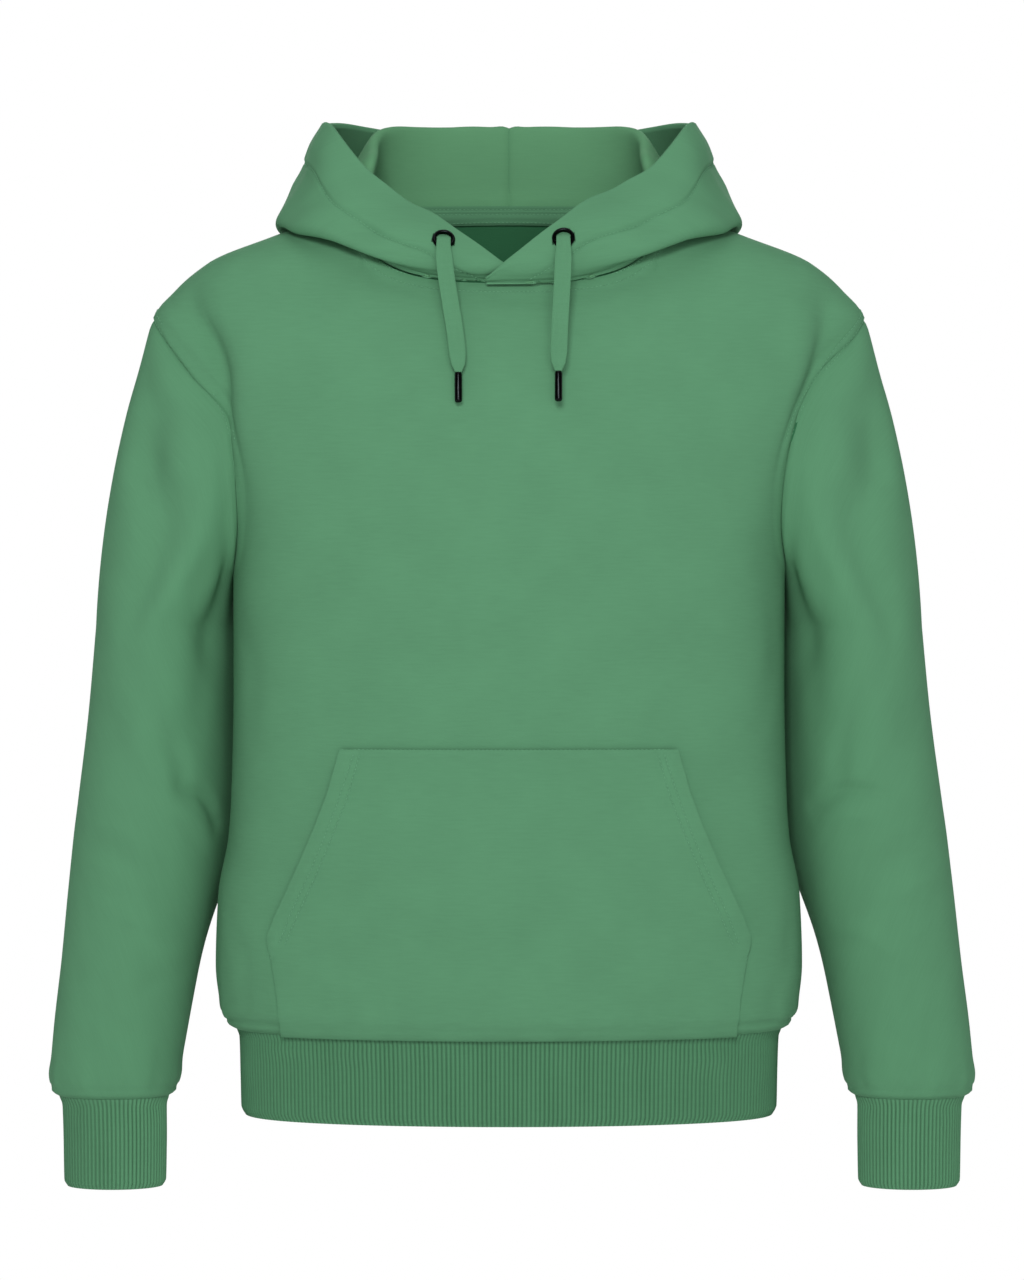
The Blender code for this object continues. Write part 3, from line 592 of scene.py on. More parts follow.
# folds of each sleeve: turn round the arm (0 outer, 90 front, 180 inner) and height of both
# ends, then the fold's own height and width
sleeveFolds = {
    "right": (
        (92, -410, 122, -457, -3.4, 8.5),
        (120, -456, 156, -482, -4.6, 6.5),
        (110, -474, 150, -500, 2.2, 8),
        (98, -372, 70, -430, 2.6, 17),
        (46, -398, 70, -450, -1.8, 12),
        (40, -482, 92, -506, 1.9, 7.5),
        (34, -498, 88, -524, -1.3, 5.5),
        (42, -516, 92, -534, 1.5, 6.5),
        (36, -532, 84, -551, -1.2, 6),
        (44, -553, 104, -566, 1.4, 7),
        (60, -574, 122, -580, -1.0, 7),
        (70, -600, 28, -612, 1.3, 9),
        (100, -622, 140, -604, -1.3, 9),
        (48, -640, 96, -664, 1.2, 9),
        (118, -648, 78, -634, -1.1, 8),
        (118, -300, 132, -400, -2.4, 15),
        (104, -176, 136, -262, -5, 13),
        (124, -240, 146, -344, -6.5, 14),
        (48, -138, 74, -212, 3.5, 12),
        (62, -186, 94, -306, 5, 13),
        (24, -136, 48, -216, -6.5, 14),
        (36, -186, 68, -322, -8, 14),
        (36, -200, 40, -300, 1.5, 16),
        (100, -330, 92, -390, -1.6, 16),
        (230, -420, 292, -452, -3.2, 10),
        (238, -448, 300, -486, 2.4, 10),
        (226, -482, 290, -516, -2.4, 9),
        (250, -560, 310, -590, 1.8, 11),
        (240, -300, 300, -350, -1.8, 17),
        (236, -628, 300, -648, -1.5, 9),
    ),
    "left": (
        (96, -404, 118, -452, -2.8, 9.5),
        (84, -462, 142, -470, -4.2, 6.5),
        (88, -480, 138, -488, 2.0, 7.5),
        (92, -366, 66, -424, 2.4, 18),
        (50, -404, 66, -462, -1.6, 12),
        (38, -490, 90, -498, 1.6, 7),
        (44, -512, 98, -520, -1.5, 6.5),
        (36, -528, 86, -545, 1.7, 7),
        (52, -552, 112, -556, -1.2, 6),
        (40, -566, 88, -584, 1.3, 8),
        (92, -584, 136, -570, 1.3, 8),
        (62, -602, 118, -616, -1.2, 8),
        (36, -628, 88, -640, 1.3, 9),
        (104, -652, 60, -664, -1.0, 9),
        (116, -300, 136, -396, -2.2, 15),
        (104, -172, 134, -256, -4.5, 13),
        (122, -234, 146, -344, -6, 14),
        (46, -134, 70, -208, 3.5, 12),
        (60, -182, 90, -300, 4.5, 13),
        (22, -138, 44, -218, -6, 14),
        (36, -190, 66, -328, -7, 14),
        (40, -210, 44, -320, 1.4, 16),
        (236, -412, 296, -446, -3.0, 10),
        (232, -444, 298, -476, 2.2, 10),
        (232, -480, 296, -508, -2.2, 9),
        (246, -548, 306, -584, 1.7, 11),
        (236, -306, 296, -348, -1.8, 17),
        (240, -620, 304, -644, -1.4, 9),
    ),
}
cuffGather = {"above": 17.0, "waves": ((31, 0.7, 0.8), (19, 0.5, 2.6), (12, 0.25, 1.1))}
ribDents = {    # soft hollows in the rib under the seam: place round, height, depth, width, tallness
    "waist": ((-176, -657, -2.0, 22, 7), (-118, -659, -2.6, 19, 8), (-62, -655, -1.4, 26, 6),
              (34, -656, -2.2, 24, 7), (96, -660, -1.9, 20, 8), (158, -664, -2.5, 20, 9),
              (214, -672, -1.2, 16, 14), (-226, -676, -1.4, 16, 14),
              (400, -658, -2.0, 26, 8), (470, -660, -2.2, 22, 7), (-420, -657, -2.1, 24, 8),
              (520, -656, -1.6, 22, 7), (-350, -660, -1.8, 20, 8)),
    "cuff": ((62, -712, -1.5, 9, 6), (98, -709, -1.1, 10, 5), (138, -714, -1.4, 9, 6),
             (30, -711, -1.0, 8, 5),
             (200, -712, -1.3, 12, 6), (-40, -713, -1.2, 12, 6)),
}


def ringPoints(rings, levels, turn):
    x = column(rings, "x", levels)[:, None] + column(rings, "halfWidth", levels)[:, None] * np.cos(turn)
    y = column(rings, "y", levels)[:, None] - column(rings, "halfDepth", levels)[:, None] * np.sin(turn)
    return np.stack([x, y, np.broadcast_to(levels[:, None], x.shape)], axis=-1)


def sleeveGrid(turn):
    front, back = turn <= np.pi, turn > np.pi
    loop = np.zeros((len(turn), 3))
    loop[front] = torsoPoint(*armhole(1 - turn[front] / np.pi, "front"), "front")
    loop[back] = torsoPoint(*armhole(turn[back] / np.pi - 1, "back"), "back")
    capEnd, wrist = sleeveRings[1][0][0], sleeveRings[1][-1][0]
    firstRing = ringPoints(sleeveRings, np.array([float(capEnd)]), turn)[0]
    outward = np.stack([np.cos(turn), -np.sin(turn), np.zeros(len(turn))], axis=-1)
    bulge = sleeve["capBulge"] * (1 + np.cos(turn)) / 2
    control = (loop + firstRing) / 2 + bulge[:, None] * outward
    t = (np.linspace(0, 1, sleeve["capRows"] + 1)[:-1] ** 1.25)[:, None, None]
    cap = (1 - t) ** 2 * loop + 2 * t * (1 - t) * control + t * t * firstRing
    fine = np.linspace(0, 1, sleeve["lowerRows"])
    levels = capEnd + (wrist - capEnd) * (1.35 * fine - 0.35 * fine ** 2)
    return np.concatenate([cap, ringPoints(sleeveRings, levels, turn)])


def sleeveReach(name, z):    # each arm swings out by its own amount on the way down
    return sleeve["reach"][name] * smoothStep(-z, 300, 740)


def armholeShift(name, turn, bodies):    # how far the panels' folds moved the armhole
    shift = np.zeros((len(turn), 3))
    for side, here in (("front", turn <= np.pi), ("back", turn > np.pi)):
        share = 1 - turn[here] / np.pi if side == "front" else turn[here] / np.pi - 1
        edge = bodies[side][3][name]
        even = np.linspace(0, 1, len(edge))
        moved = np.stack([np.interp(share, even, edge[:, k]) for k in range(3)], axis=-1)
        shift[here] = moved - torsoPoint(*armhole(share, side), side)
    return shift


def makeSleeve(name, finish, bodies):
    turn = 2 * np.pi * np.arange(sleeve["around"]) / sleeve["around"]
    grid = sleeveGrid(turn)
    normals = gridNormals(grid, around=True)
    z = grid[..., 2]
    radius = sleeve["flatRadius"]
    u = np.broadcast_to(turn * radius, z.shape)
    folds = [(math.radians(a) * radius, za, math.radians(b) * radius, zb, height, width)
             for a, za, b, zb, height, width in sleeveFolds[name]]
    relief = softFolds(u, z, folds, wrap=2 * np.pi * radius)
    above = z - sleeveRings[1][-1][0]
    start = 0.0 if name == "left" else 7.0
    gathers = ripple(u + start, cuffGather["waves"])
    relief += gathers * smoothStep(above, 5, 12) * np.exp(-above / cuffGather["above"])
    relief += 0.7 * bump(above - 3.4, 2.4) - 0.9 * bump(above - 7.4, 1.3) + 1.5 * bump(above - 17, 9)
    away = edgeDistance(grid, grid[0])
    relief = relief * smoothStep(away, 1, sleeve["foldFade"])
    relief += sleeve["seamPuff"] * smoothStep(away, 0, 5) * bump(away, 22)
    grid = grid + (relief - sleeve["seamDip"] * bump(away, 2.5))[..., None] * normals
    grid += bump(away, sleeve["followsBody"])[..., None] * armholeShift(name, turn, bodies)[None]
    # the seam allowance, turned in under the panels' edge so that no gap shows
    tuck = grid[0] - sleeve["allowance"] * unit(grid[2] - grid[0])
    tuck -= sleeve["allowanceDepth"] * normals[0]
    grid = np.concatenate([tuck[None], grid])
    z = grid[..., 2]
    length = runAlong(grid)
    uv = np.stack([np.broadcast_to(turn * radius, z.shape), -length], axis=-1)
    uv = np.concatenate([uv, uv[:, :1] + np.array([2 * np.pi * radius, 0])], axis=1)
    behind = smoothStep(-z, 290, 350) * (1 - smoothStep(-z, 500, 610))
    grid[..., 0] -= sleeve["tucked"] * behind * bump(np.degrees(turn) - 218, 31)
    grid[..., 0] += sleeveReach(name, grid[..., 2])
    if name == "right":
        grid = mirrored(grid)[:, ::-1]
        uv = uv[:, ::-1]
    piece = clothMesh("sleeve" + name.title(), grid, uv, around=True)
    thicken(piece, sleeve["cloth"])
    finishPiece(piece, finish, "green_fleece", "sleeve_" + name)
    print(name, "sleeve made")
    return piece, grid


def ribRelief(place, z, pitch, depth, dents, girth):
    phase = place / pitch
    ribs = np.abs(np.sin(np.pi * phase)) ** 0.7
    wander = 0.12 * np.sin(2 * np.pi * phase / 7.3) + 0.1 * np.sin(2 * np.pi * phase / 11.7 + z * 0.05)
    relief = depth * (ribs - 0.6) * (1 + wander)
    for at, height, low, wide, tall in dents:
        off = (place - at + girth / 2) % girth - girth / 2
        relief += low * bump(off, wide) * bump(z - height, tall)
    return relief


def ribTube(ring, rings, settings, dents):
    # ring gives points for levels and shares of the way round; the ribs follow the tape length
    fine = ring(np.array([column(rings, "z", rings[1][2][0])]), np.linspace(0, 1, 721))[0]
    along = runAlong(fine)
    girth = along[-1]
    ribs = round(girth / settings["ribPitch"])
    count = ribs * settings["perRib"]
    place = np.arange(count) / count * girth
    share = np.interp(place, along, np.linspace(0, 1, 721))
    top, bottom = rings[1][0][0], rings[1][-1][0]
    step = np.linspace(0, 1, settings["rows"])
    levels = top + (bottom - top) * (step - 0.09 * np.sin(2 * np.pi * step))
    grid = ring(levels, share)
    normals = gridNormals(grid, around=True)
    normals[..., 2] = 0
    normals = unit(normals)
    signed = np.where(place > girth / 2, place - girth, place)
    edge = smoothStep(np.minimum(top - levels, levels - bottom), -0.5, 3.0)[:, None]
    relief = ribRelief(signed[None, :], levels[:, None], girth / ribs, settings["ribDepth"],
                       dents, girth)
    grid = grid + (relief * (0.35 + 0.65 * edge))[..., None] * normals
    tight = settings["ribPitch"] * ribs / girth
    across = tight * np.append(place, girth)
    uv = np.stack(np.broadcast_arrays(across[None, :], levels[:, None]), axis=-1)
    return grid, uv


def makeCuff(name, finish):
    def ring(levels, share):
        return ringPoints(cuffRings, np.asarray(levels, float), 2 * np.pi * share)
    grid, uv = ribTube(ring, cuffRings, cuff, ribDents["cuff"])
    grid[..., 0] += sleeveReach(name, grid[..., 2])
    if name == "right":
        grid, uv = mirrored(grid)[:, ::-1], uv[:, ::-1]
    piece = clothMesh("cuff" + name.title(), grid, uv, around=True)
    thicken(piece, cuff["rib"])
    finishPiece(piece, finish, "green_rib", "cuff_" + name)
    return piece, grid


def makeWaistband(finish):
    def ring(levels, share):
        turn = 2 * np.pi * np.asarray(share)    # 0 at the centre front, then the wearer's left
        half = column(waistRings, "halfWidth", levels)[:, None]
        front = column(waistRings, "front", levels)[:, None]
        back = column(waistRings, "back", levels)[:, None]
        cos = np.cos(turn)[None]
        depth = np.where(cos > 0, -front, back) * np.abs(cos) ** body["roundness"]
        x = half * np.sin(turn)
        return np.stack([x, depth, np.broadcast_to(np.asarray(levels)[:, None], x.shape)], axis=-1)
    grid, uv = ribTube(ring, waistRings, waistband, ribDents["waist"])
    grid, uv = grid[::-1], uv[::-1]
    piece = clothMesh("waistbandRib", grid, uv, around=True)
    thicken(piece, waistband["rib"])
    finishPiece(piece, finish, "green_rib", "waistband")
    print("rib made")
    return piece, grid


# Pocket and neck tape

pocket = {"cloth": 2.0, "clear": 1.3, "columns": 110, "rows": 72, "hem": 12.5, "mouth": 3.0,
          "topZ": -424.0, "cornerZ": -570.0, "sideEndZ": -637.0, "lowZ": -644.6}
pocketRows = (("z", "halfWidth"), (
    (-424, 128),
    (-455, 135.5),
    (-485, 146.5),
    (-515, 159),
    (-543, 172),
    (-570, 184.5),
    (-594, 180),
    (-615, 176.5),
    (-632, 174.5),
    (-640, 174),
    (-644.6, 174),
))
pocketFolds = (
    (-108, -520, -66, -556, 1.1, 13),
    (-92, -548, -40, -600, -1.2, 12),
    (-30, -590, 22, -612, 1.0, 10),
    (96, -566, 52, -604, -1.2, 11),
    (110, -600, 70, -626, 1.0, 9),
    (-128, -590, -96, -622, -1.0, 9),
    (-20, -446, 30, -470, -0.8, 18),
)


def pocketPoint(share, z):
    down, halves = [-r[0] for r in pocketRows[1]], [r[1] for r in pocketRows[1]]
    half = np.interp(-np.asarray(z, float), down, halves)
    x = half * share
    return torsoPoint(angleAtX(np.abs(x), z), z, "front") * np.stack(
        [np.where(x < 0, -1.0, 1.0), np.ones_like(x), np.ones_like(x)], axis=-1)


def pocketEdges():    # both openings from the top corner down, and the edges below them
    openZ = np.linspace(pocket["topZ"], pocket["cornerZ"], 60)
    lowZ = np.linspace(pocket["cornerZ"], pocket["sideEndZ"], 30)
    topShare = np.linspace(-1, 1, 80)
    return {
        "opening": pocketPoint(np.ones(60), openZ),
        "side": pocketPoint(np.ones(30), lowZ),
        "top": pocketPoint(topShare, np.full(80, pocket["topZ"])),
    }


def makePocket(finish, under):
    share = np.linspace(-1, 1, pocket["columns"])
    share = share * (0.8 + 0.2 * share ** 2)
    steps = np.linspace(0, 1, pocket["rows"])
    z = (pocket["lowZ"] + (pocket["topZ"] - pocket["lowZ"]) * steps)[:, None]
    share, z = np.broadcast_arrays(share[None, :], z)
    grid = pocketPoint(share, z)
    normals = bodyNormals(grid, "front")
    edges = pocketEdges()
    opening = edgeDistance(grid, np.concatenate([edges["opening"], mirrored(edges["opening"])]))
    side = edgeDistance(grid, np.concatenate([edges["side"], mirrored(edges["side"])]))
    top = edgeDistance(grid, edges["top"])
    flatX = np.where(grid[..., 0] < 0, -1, 1) * girthAt(angleAtX(np.abs(grid[..., 0]), z), z, "front")
    relief = softFolds(flatX, z, pocketFolds)
    flat = np.stack([flatX, z], axis=-1)
    hemRelief = bodyRelief(grid, flat, "front", {})
    relief = relief + hemRelief * smoothStep(-z, 560, 640)
    middle = smoothStep(-z, 424, 450) * (1 - smoothStep(-z, 548, 572))
    relief = relief + pocket["mouth"] * middle * bump(opening, 24)
    relief += 1.0 * (1 - smoothStep(opening, pocket["hem"] - 1.5, pocket["hem"] + 2.0))
    relief -= 1.0 * bump(opening - pocket["hem"], 1.2) + 0.7 * bump(opening - pocket["hem"] - 4, 1.2)
    relief -= 0.5 * bump(top, 1.4) + 0.5 * bump(opening, 1.3) + 0.9 * bump(side, 1.6)
    relief += 0.8 * bump(top - 3.6, 3) - 0.6 * bump(top - 7.5, 1.2)
    relief += 0.5 * bump(side - 4, 3)
    near = BVHTree.FromPolygons([Vector(p) for p in under.reshape(-1, 3)],
                                gridFaces(under.shape[0], under.shape[1]))
    lift = np.zeros(relief.shape)
    for r in range(grid.shape[0]):    # the pocket lies on the panel, folds and all
        for c in range(grid.shape[1]):
            spot = near.find_nearest(Vector(grid[r, c]))[0]
            lift[r, c] = (np.array(spot) - grid[r, c]) @ normals[r, c]
    rest = np.clip(lift, 0, None) * (1 - smoothStep(-z, 600, 640))
    out = pocket["clear"] + pocket["cloth"] + relief + rest
    out = np.maximum(out, lift + pocket["cloth"] + 0.4)
    grid = grid + out[..., None] * normals
    piece = clothMesh("pouchPocket", grid, flat)
    thicken(piece, pocket["cloth"])
    finishPiece(piece, finish, "green_fleece", "pocket")
    print("pocket made")
    return piece, grid


def gridFaces(rows, columns):
    return [(r * columns + c, r * columns + c + 1, (r + 1) * columns + c + 1, (r + 1) * columns + c)
            for r in range(rows - 1) for c in range(columns - 1)]


tape = {"width": 10.0, "thickness": 1.0, "inside": 4.6, "reach": 0.86, "columns": 90, "rows": 26}


def makeNeckTape(finish):
    share = np.linspace(-tape["reach"], tape["reach"], tape["columns"])
    angle, z = neckline(np.abs(share), "back")
    angle = angle * np.sign(share)
    rows = []
    for down in np.linspace(1 + tape["width"], -2.5, tape["rows"]):
        level = z - down
        points = torsoPoint(np.abs(angle), level, "back")
        points[..., 0] *= np.sign(angle)
        swell = 0.4 * smoothStep(tape["width"] + 1 - down, 0, 2)
        swell -= 0.45 * (bump(down - 0.4, 0.8) + bump(down - 3.6, 0.8) + bump(down - 8.0, 0.8))
        rows.append(points - (tape["inside"] + swell) * bodyNormals(points, "back"))
    grid = np.array(rows)
    drop = np.linspace(-11, -1, tape["rows"])
    uv = np.stack(np.broadcast_arrays(share[None] * 140, drop[:, None]), axis=-1)
    piece = clothMesh("neckTape", grid, uv)
    thicken(piece, tape["thickness"])
    finishPiece(piece, finish, "green_fleece", "neck_tape")
    return piece, grid


# Hood

hood = {
    "cloth": 1.6, "liningCloth": 1.3, "liningAt": 1.75, "liningFrom": 0.3, "rimRadius": 2.3,
    "turnedIn": 27.0,
    "columns": 150, "bellyRows": 22, "lowRows": 93, "rimRows": 32, "rimReach": 38.0,
    "foldCut": 20.0, "foldShare": 0.42, "restHeight": 5.0, "restFrom": 30.0,
    "lift": 6.5, "liftFull": 24.0, "liftGone": 80.0, "liftWay": (0, -0.95, -0.3),
}
hoodSections = (("station", "heading", "ridgeOut", "ridgeUp", "innerOut", "innerUp", "foldOut", "foldUp",
                 "bellyOut", "bellyUp", "rimOut", "rimUp"), (
    (-0.5, -90, 1, 2, 3, 3, 5, 4, 6, 4.5, 6.5, 5),
    (0, -90, 1, 3, 4, 5, 9, 8, 12, 14, 9, 20),
    (1, -82, 1, 3, 5, 5, 13, 9, 11, 22, 0, 40),
    (2, -66, 1, 4, 6, 5, 15, 8, 11, 27, -11, 54),
    (3, -45, 1, 6, 4, 6.5, 25, 2, 14, 25, -16, 55),
    (4, -28, -1, 13, 11, 4, 46, -11, 30, 19, -2, 53),
    (5, -12, -6, 27, 17, 5, 69, -31, 44, 13, 22, 65),
    (6, 2, -9, 43, 19, 12, 78, -28, 51, 20, 30, 69),
    (7, 18, -6, 54, 22, 10, 82, -34, 66, 18, 35, 71),
    (8, 33, 1, 62, 24, 2, 78, -60, 88, -2, 42, 73),
    (9, 47, 7, 65, 25, -6, 70, -104, 100, -28, 52, 71),
    (10, 61, 11, 65, 26, -10, 60, -132, 98, -42, 60, 67),
    (12, 90, 13, 65, 27, -10, 55, -150, 93, -52, 67, 63),
))
# how much higher each half's rim stands than the table, by station
rimRise = {
    "right": (("station", "rise"), ((-0.5, 1), (0, -7), (1, -2.5), (2, -0.5), (3, 0), (12, 0))),
    "left": (("station", "rise"), ((-0.5, 1), (0, 1), (1, 7), (2, 9.5), (3, 6.5),
                                  (4, 1), (5, 0), (12, 0))),
}
channelWidths = (("station", "width"), ((-0.5, 28), (1, 34), (3, 39), (5, 37), (7, 33), (9, 30),
                                        (12, 29)))
# soft folds of the hood's layers: station and share of the way from seam to rim at both ends
hoodFolds = (
    (1.2, 0.62, 3.6, 0.40, -1.6, 9),
    (2.4, 0.86, 5.2, 0.58, -1.8, 10),
    (4.6, 0.42, 7.4, 0.50, 1.8, 14),
    (7.0, 0.66, 9.6, 0.60, -2.4, 16),
    (9.2, 0.72, 11.6, 0.78, 2.2, 18),
    (10.4, 0.58, 11.9, 0.62, -1.8, 14),
    (6.2, 0.28, 8.4, 0.22, -1.5, 13),
    (9.4, 0.16, 11.2, 0.20, 1.4, 17),
    (10.2, 0.09, 11.6, 0.07, -1.3, 12),
)
hoodLean = {"left": 0.0, "right": 1.3}    # shifts the folds a little, so the halves differ


hoodRowPlaces = np.concatenate([np.linspace(0, 0.7, 13)[:-1], np.linspace(0.7, 1.4, 23)[:-1],
                                np.linspace(1.4, 2.6, 15)[:-1], np.linspace(2.6, 4, 24)])


def neckSeam(stations):    # points of the neck seam by hood station, past the centre front too
    stations = np.asarray(stations, float)
    points = np.zeros((len(stations), 3))
    even = np.linspace(0, 1, 121)
    ahead = stations <= 6
    share = np.interp(np.abs(stations[ahead]) / 6, even, evenNeck("front", 120))
    points[ahead] = torsoPoint(*neckline(share, "front"), "front")
    points[stations < 0, 0] *= -1
    share = np.interp(2 - stations[~ahead] / 6, even, evenNeck("back", 120))
    points[~ahead] = torsoPoint(*neckline(share, "back"), "back")
    return points


def sectionCurve(points, rows):
    knots = np.concatenate([[0], np.cumsum(np.sqrt(np.linalg.norm(np.diff(points, axis=0), axis=1)))])
    slopes = np.gradient(points, knots, axis=0)
    i = np.clip(rows.astype(int), 0, len(knots) - 2)
    h = (knots[i + 1] - knots[i])[:, None]
    f = (rows - i)[:, None]
    return ((1 + 2 * f) * (1 - f) ** 2 * points[i] + f * (1 - f) ** 2 * h * slopes[i]
            + f * f * (3 - 2 * f) * points[i + 1] + f * f * (f - 1) * h * slopes[i + 1])


def bodyHeight(x, y):    # height of the body's surface above places on the plan
    levels = np.linspace(12, -200, 425)
    half = column(torso, "halfWidth", levels)
    front, back = column(torso, "front", levels), column(torso, "back", levels)
    depth = np.where(y[:, None] < 0, front, back)
    reach = depth * np.clip(1 - (x[:, None] / half) ** 2, 0, 1) ** (body["roundness"] / 2)
    inside = (reach >= np.abs(y)[:, None]) & (half >= np.abs(x)[:, None])
    return np.where(inside.any(axis=1), levels[np.argmax(inside, axis=1)], -1000.0)


def hoodSection(name, station, seam):
    value = {key: float(column(hoodSections, key, station)) for key in hoodSections[0][1:]}
    points = {key: np.array([value[key + "Out"], value[key + "Up"]])
              for key in ("ridge", "inner", "fold", "belly", "rim")}
    for key, share in (("rim", 1.0), ("belly", 0.7), ("fold", 0.3)):
        points[key][1] += share * float(column(rimRise[name], "rise", station))
    fold, inner, belly = points["fold"], points["inner"], points["belly"]
    nearest = min(np.linalg.norm(inner - fold), np.linalg.norm(belly - fold))
    cut = min(hood["foldCut"], hood["foldShare"] * nearest)
    low, high = fold + cut * unit(inner - fold), fold + cut * unit(belly - fold)
    corners = np.array([(0.0, 0.5), points["ridge"], inner, low, high, belly, points["rim"]])
    curve = sectionCurve(corners, np.linspace(0, 6, 601))
    heading = math.radians(value["heading"])
    out = np.array([math.cos(heading), math.sin(heading), 0.0])
    section = seam + curve[:, :1] * out + curve[:, 1:] * np.array([0.0, 0.0, 1.0])
    away = np.linalg.norm(section - section[0], axis=1)
    rest = bodyHeight(section[:, 0], section[:, 1])
    rest = rest + hood["restHeight"] * np.clip(away / hood["restFrom"], 0.1, 1)
    gap = section[:, 2] - rest
    section[:, 2] = np.where(gap > 20, section[:, 2], rest + (gap + np.sqrt(gap * gap + 3)) / 2)
    along = runAlong(section)
    total = along[-1] - hood["rimRadius"]
    shared = along[(hoodRowPlaces * 100).astype(int)]    # rows that keep their place round every section
    nearRim = min(hood["rimReach"], 0.8 * (total - shared[-1]))
    lengths = np.concatenate([shared[:-1],
                              np.linspace(shared[-1], total - nearRim, hood["bellyRows"] + 1)[:-1],
                              np.linspace(total - nearRim, total, hood["rimRows"] + 1)])
    points = np.stack([np.interp(lengths, along, section[:, k]) for k in range(3)], axis=-1)
    return points, total - lengths


def hoodBase(name):    # the layer both cloths follow: points, normals, distance to the rim, station
    stations = np.concatenate([np.linspace(-0.5, 3, 45)[:-1], np.linspace(3, 12, hood["columns"] - 44)])
    seams = neckSeam(stations)
    made = [hoodSection(name, s, p) for s, p in zip(stations, seams)]
    grid = np.array([m[0] for m in made]).transpose(1, 0, 2)
    toRim = np.array([m[1] for m in made]).T
    for k in range(6):    # evens the surface where it starts to rest on the body
        grid[1:, 1:-1] = (grid[1:, 1:-1] * 2 + grid[1:, :-2] + grid[1:, 2:]) / 4
    normals = gridNormals(grid)
    normals[:, -1, 0] = 0
    normals = unit(normals)
    share = 1 - toRim / toRim[0]
    relief = np.zeros(toRim.shape)
    for s0, h0, s1, h1, height, width in hoodFolds:
        lean = 0.12 * hoodLean[name]
        relief += softFolds(stations[None] * 22.0 + 0 * share, share * 160.0,
                            ((22 * (s0 + lean), 160 * h0, 22 * (s1 - lean), 160 * (h1 + 0.02 * lean),
                              height, width),))
    relief *= smoothStep(toRim, 24, 40) * smoothStep(share * 160, 4, 18)
    grid = grid + relief[..., None] * normals
    if name == "left":
        reach = np.clip((hood["liftGone"] - grid[..., 0]) / (hood["liftGone"] - hood["liftFull"]), 0, 1)
        reach = np.where(grid[..., 1] < 0, reach * reach * (3 - 2 * reach), 0)
        grid = grid + (hood["lift"] * reach)[..., None] * np.array(hood["liftWay"])
    return grid, normals, toRim, stations


eyeletPlaces = {"left": (42, -33), "right": (-50, -34)}
eyelet = {"flange": 8.8, "opening": 6.1, "hole": 6.9, "lift": 0.5}


def eyeletSeat(name, grid, normals):
    x, z = eyeletPlaces[name]
    x = abs(x)
    half = hood["lowRows"]
    rows, columns = grid[half - 20:, :60], normals[half - 20:, :60]
    off = np.hypot(rows[..., 0] - x, rows[..., 2] - z)
    near = off < 5
    centre = rows[off == off.min()][0]
    axis = unit(columns[near].mean(axis=0))
    around = grid[np.linalg.norm(grid - centre, axis=-1) < eyelet["flange"] + 1.5]
    rise = np.max((around - centre) @ axis)
    return centre + min(rise, 1.6) * axis, axis


def clearHole(piece, centre, radius):    # takes out the cloth inside an eyelet
    useOnly(piece)
    bpy.ops.object.mode_set(mode="EDIT")
    bpy.ops.mesh.select_all(action="DESELECT")
    bpy.ops.object.mode_set(mode="OBJECT")
    spot = Vector(centre) * mm
    for vertex in piece.data.vertices:
        vertex.select = (vertex.co - spot).length < radius * mm
    bpy.ops.object.mode_set(mode="EDIT")
    bpy.ops.mesh.select_mode(type="VERT")
    bpy.ops.mesh.delete(type="VERT")
    bpy.ops.object.mode_set(mode="OBJECT")


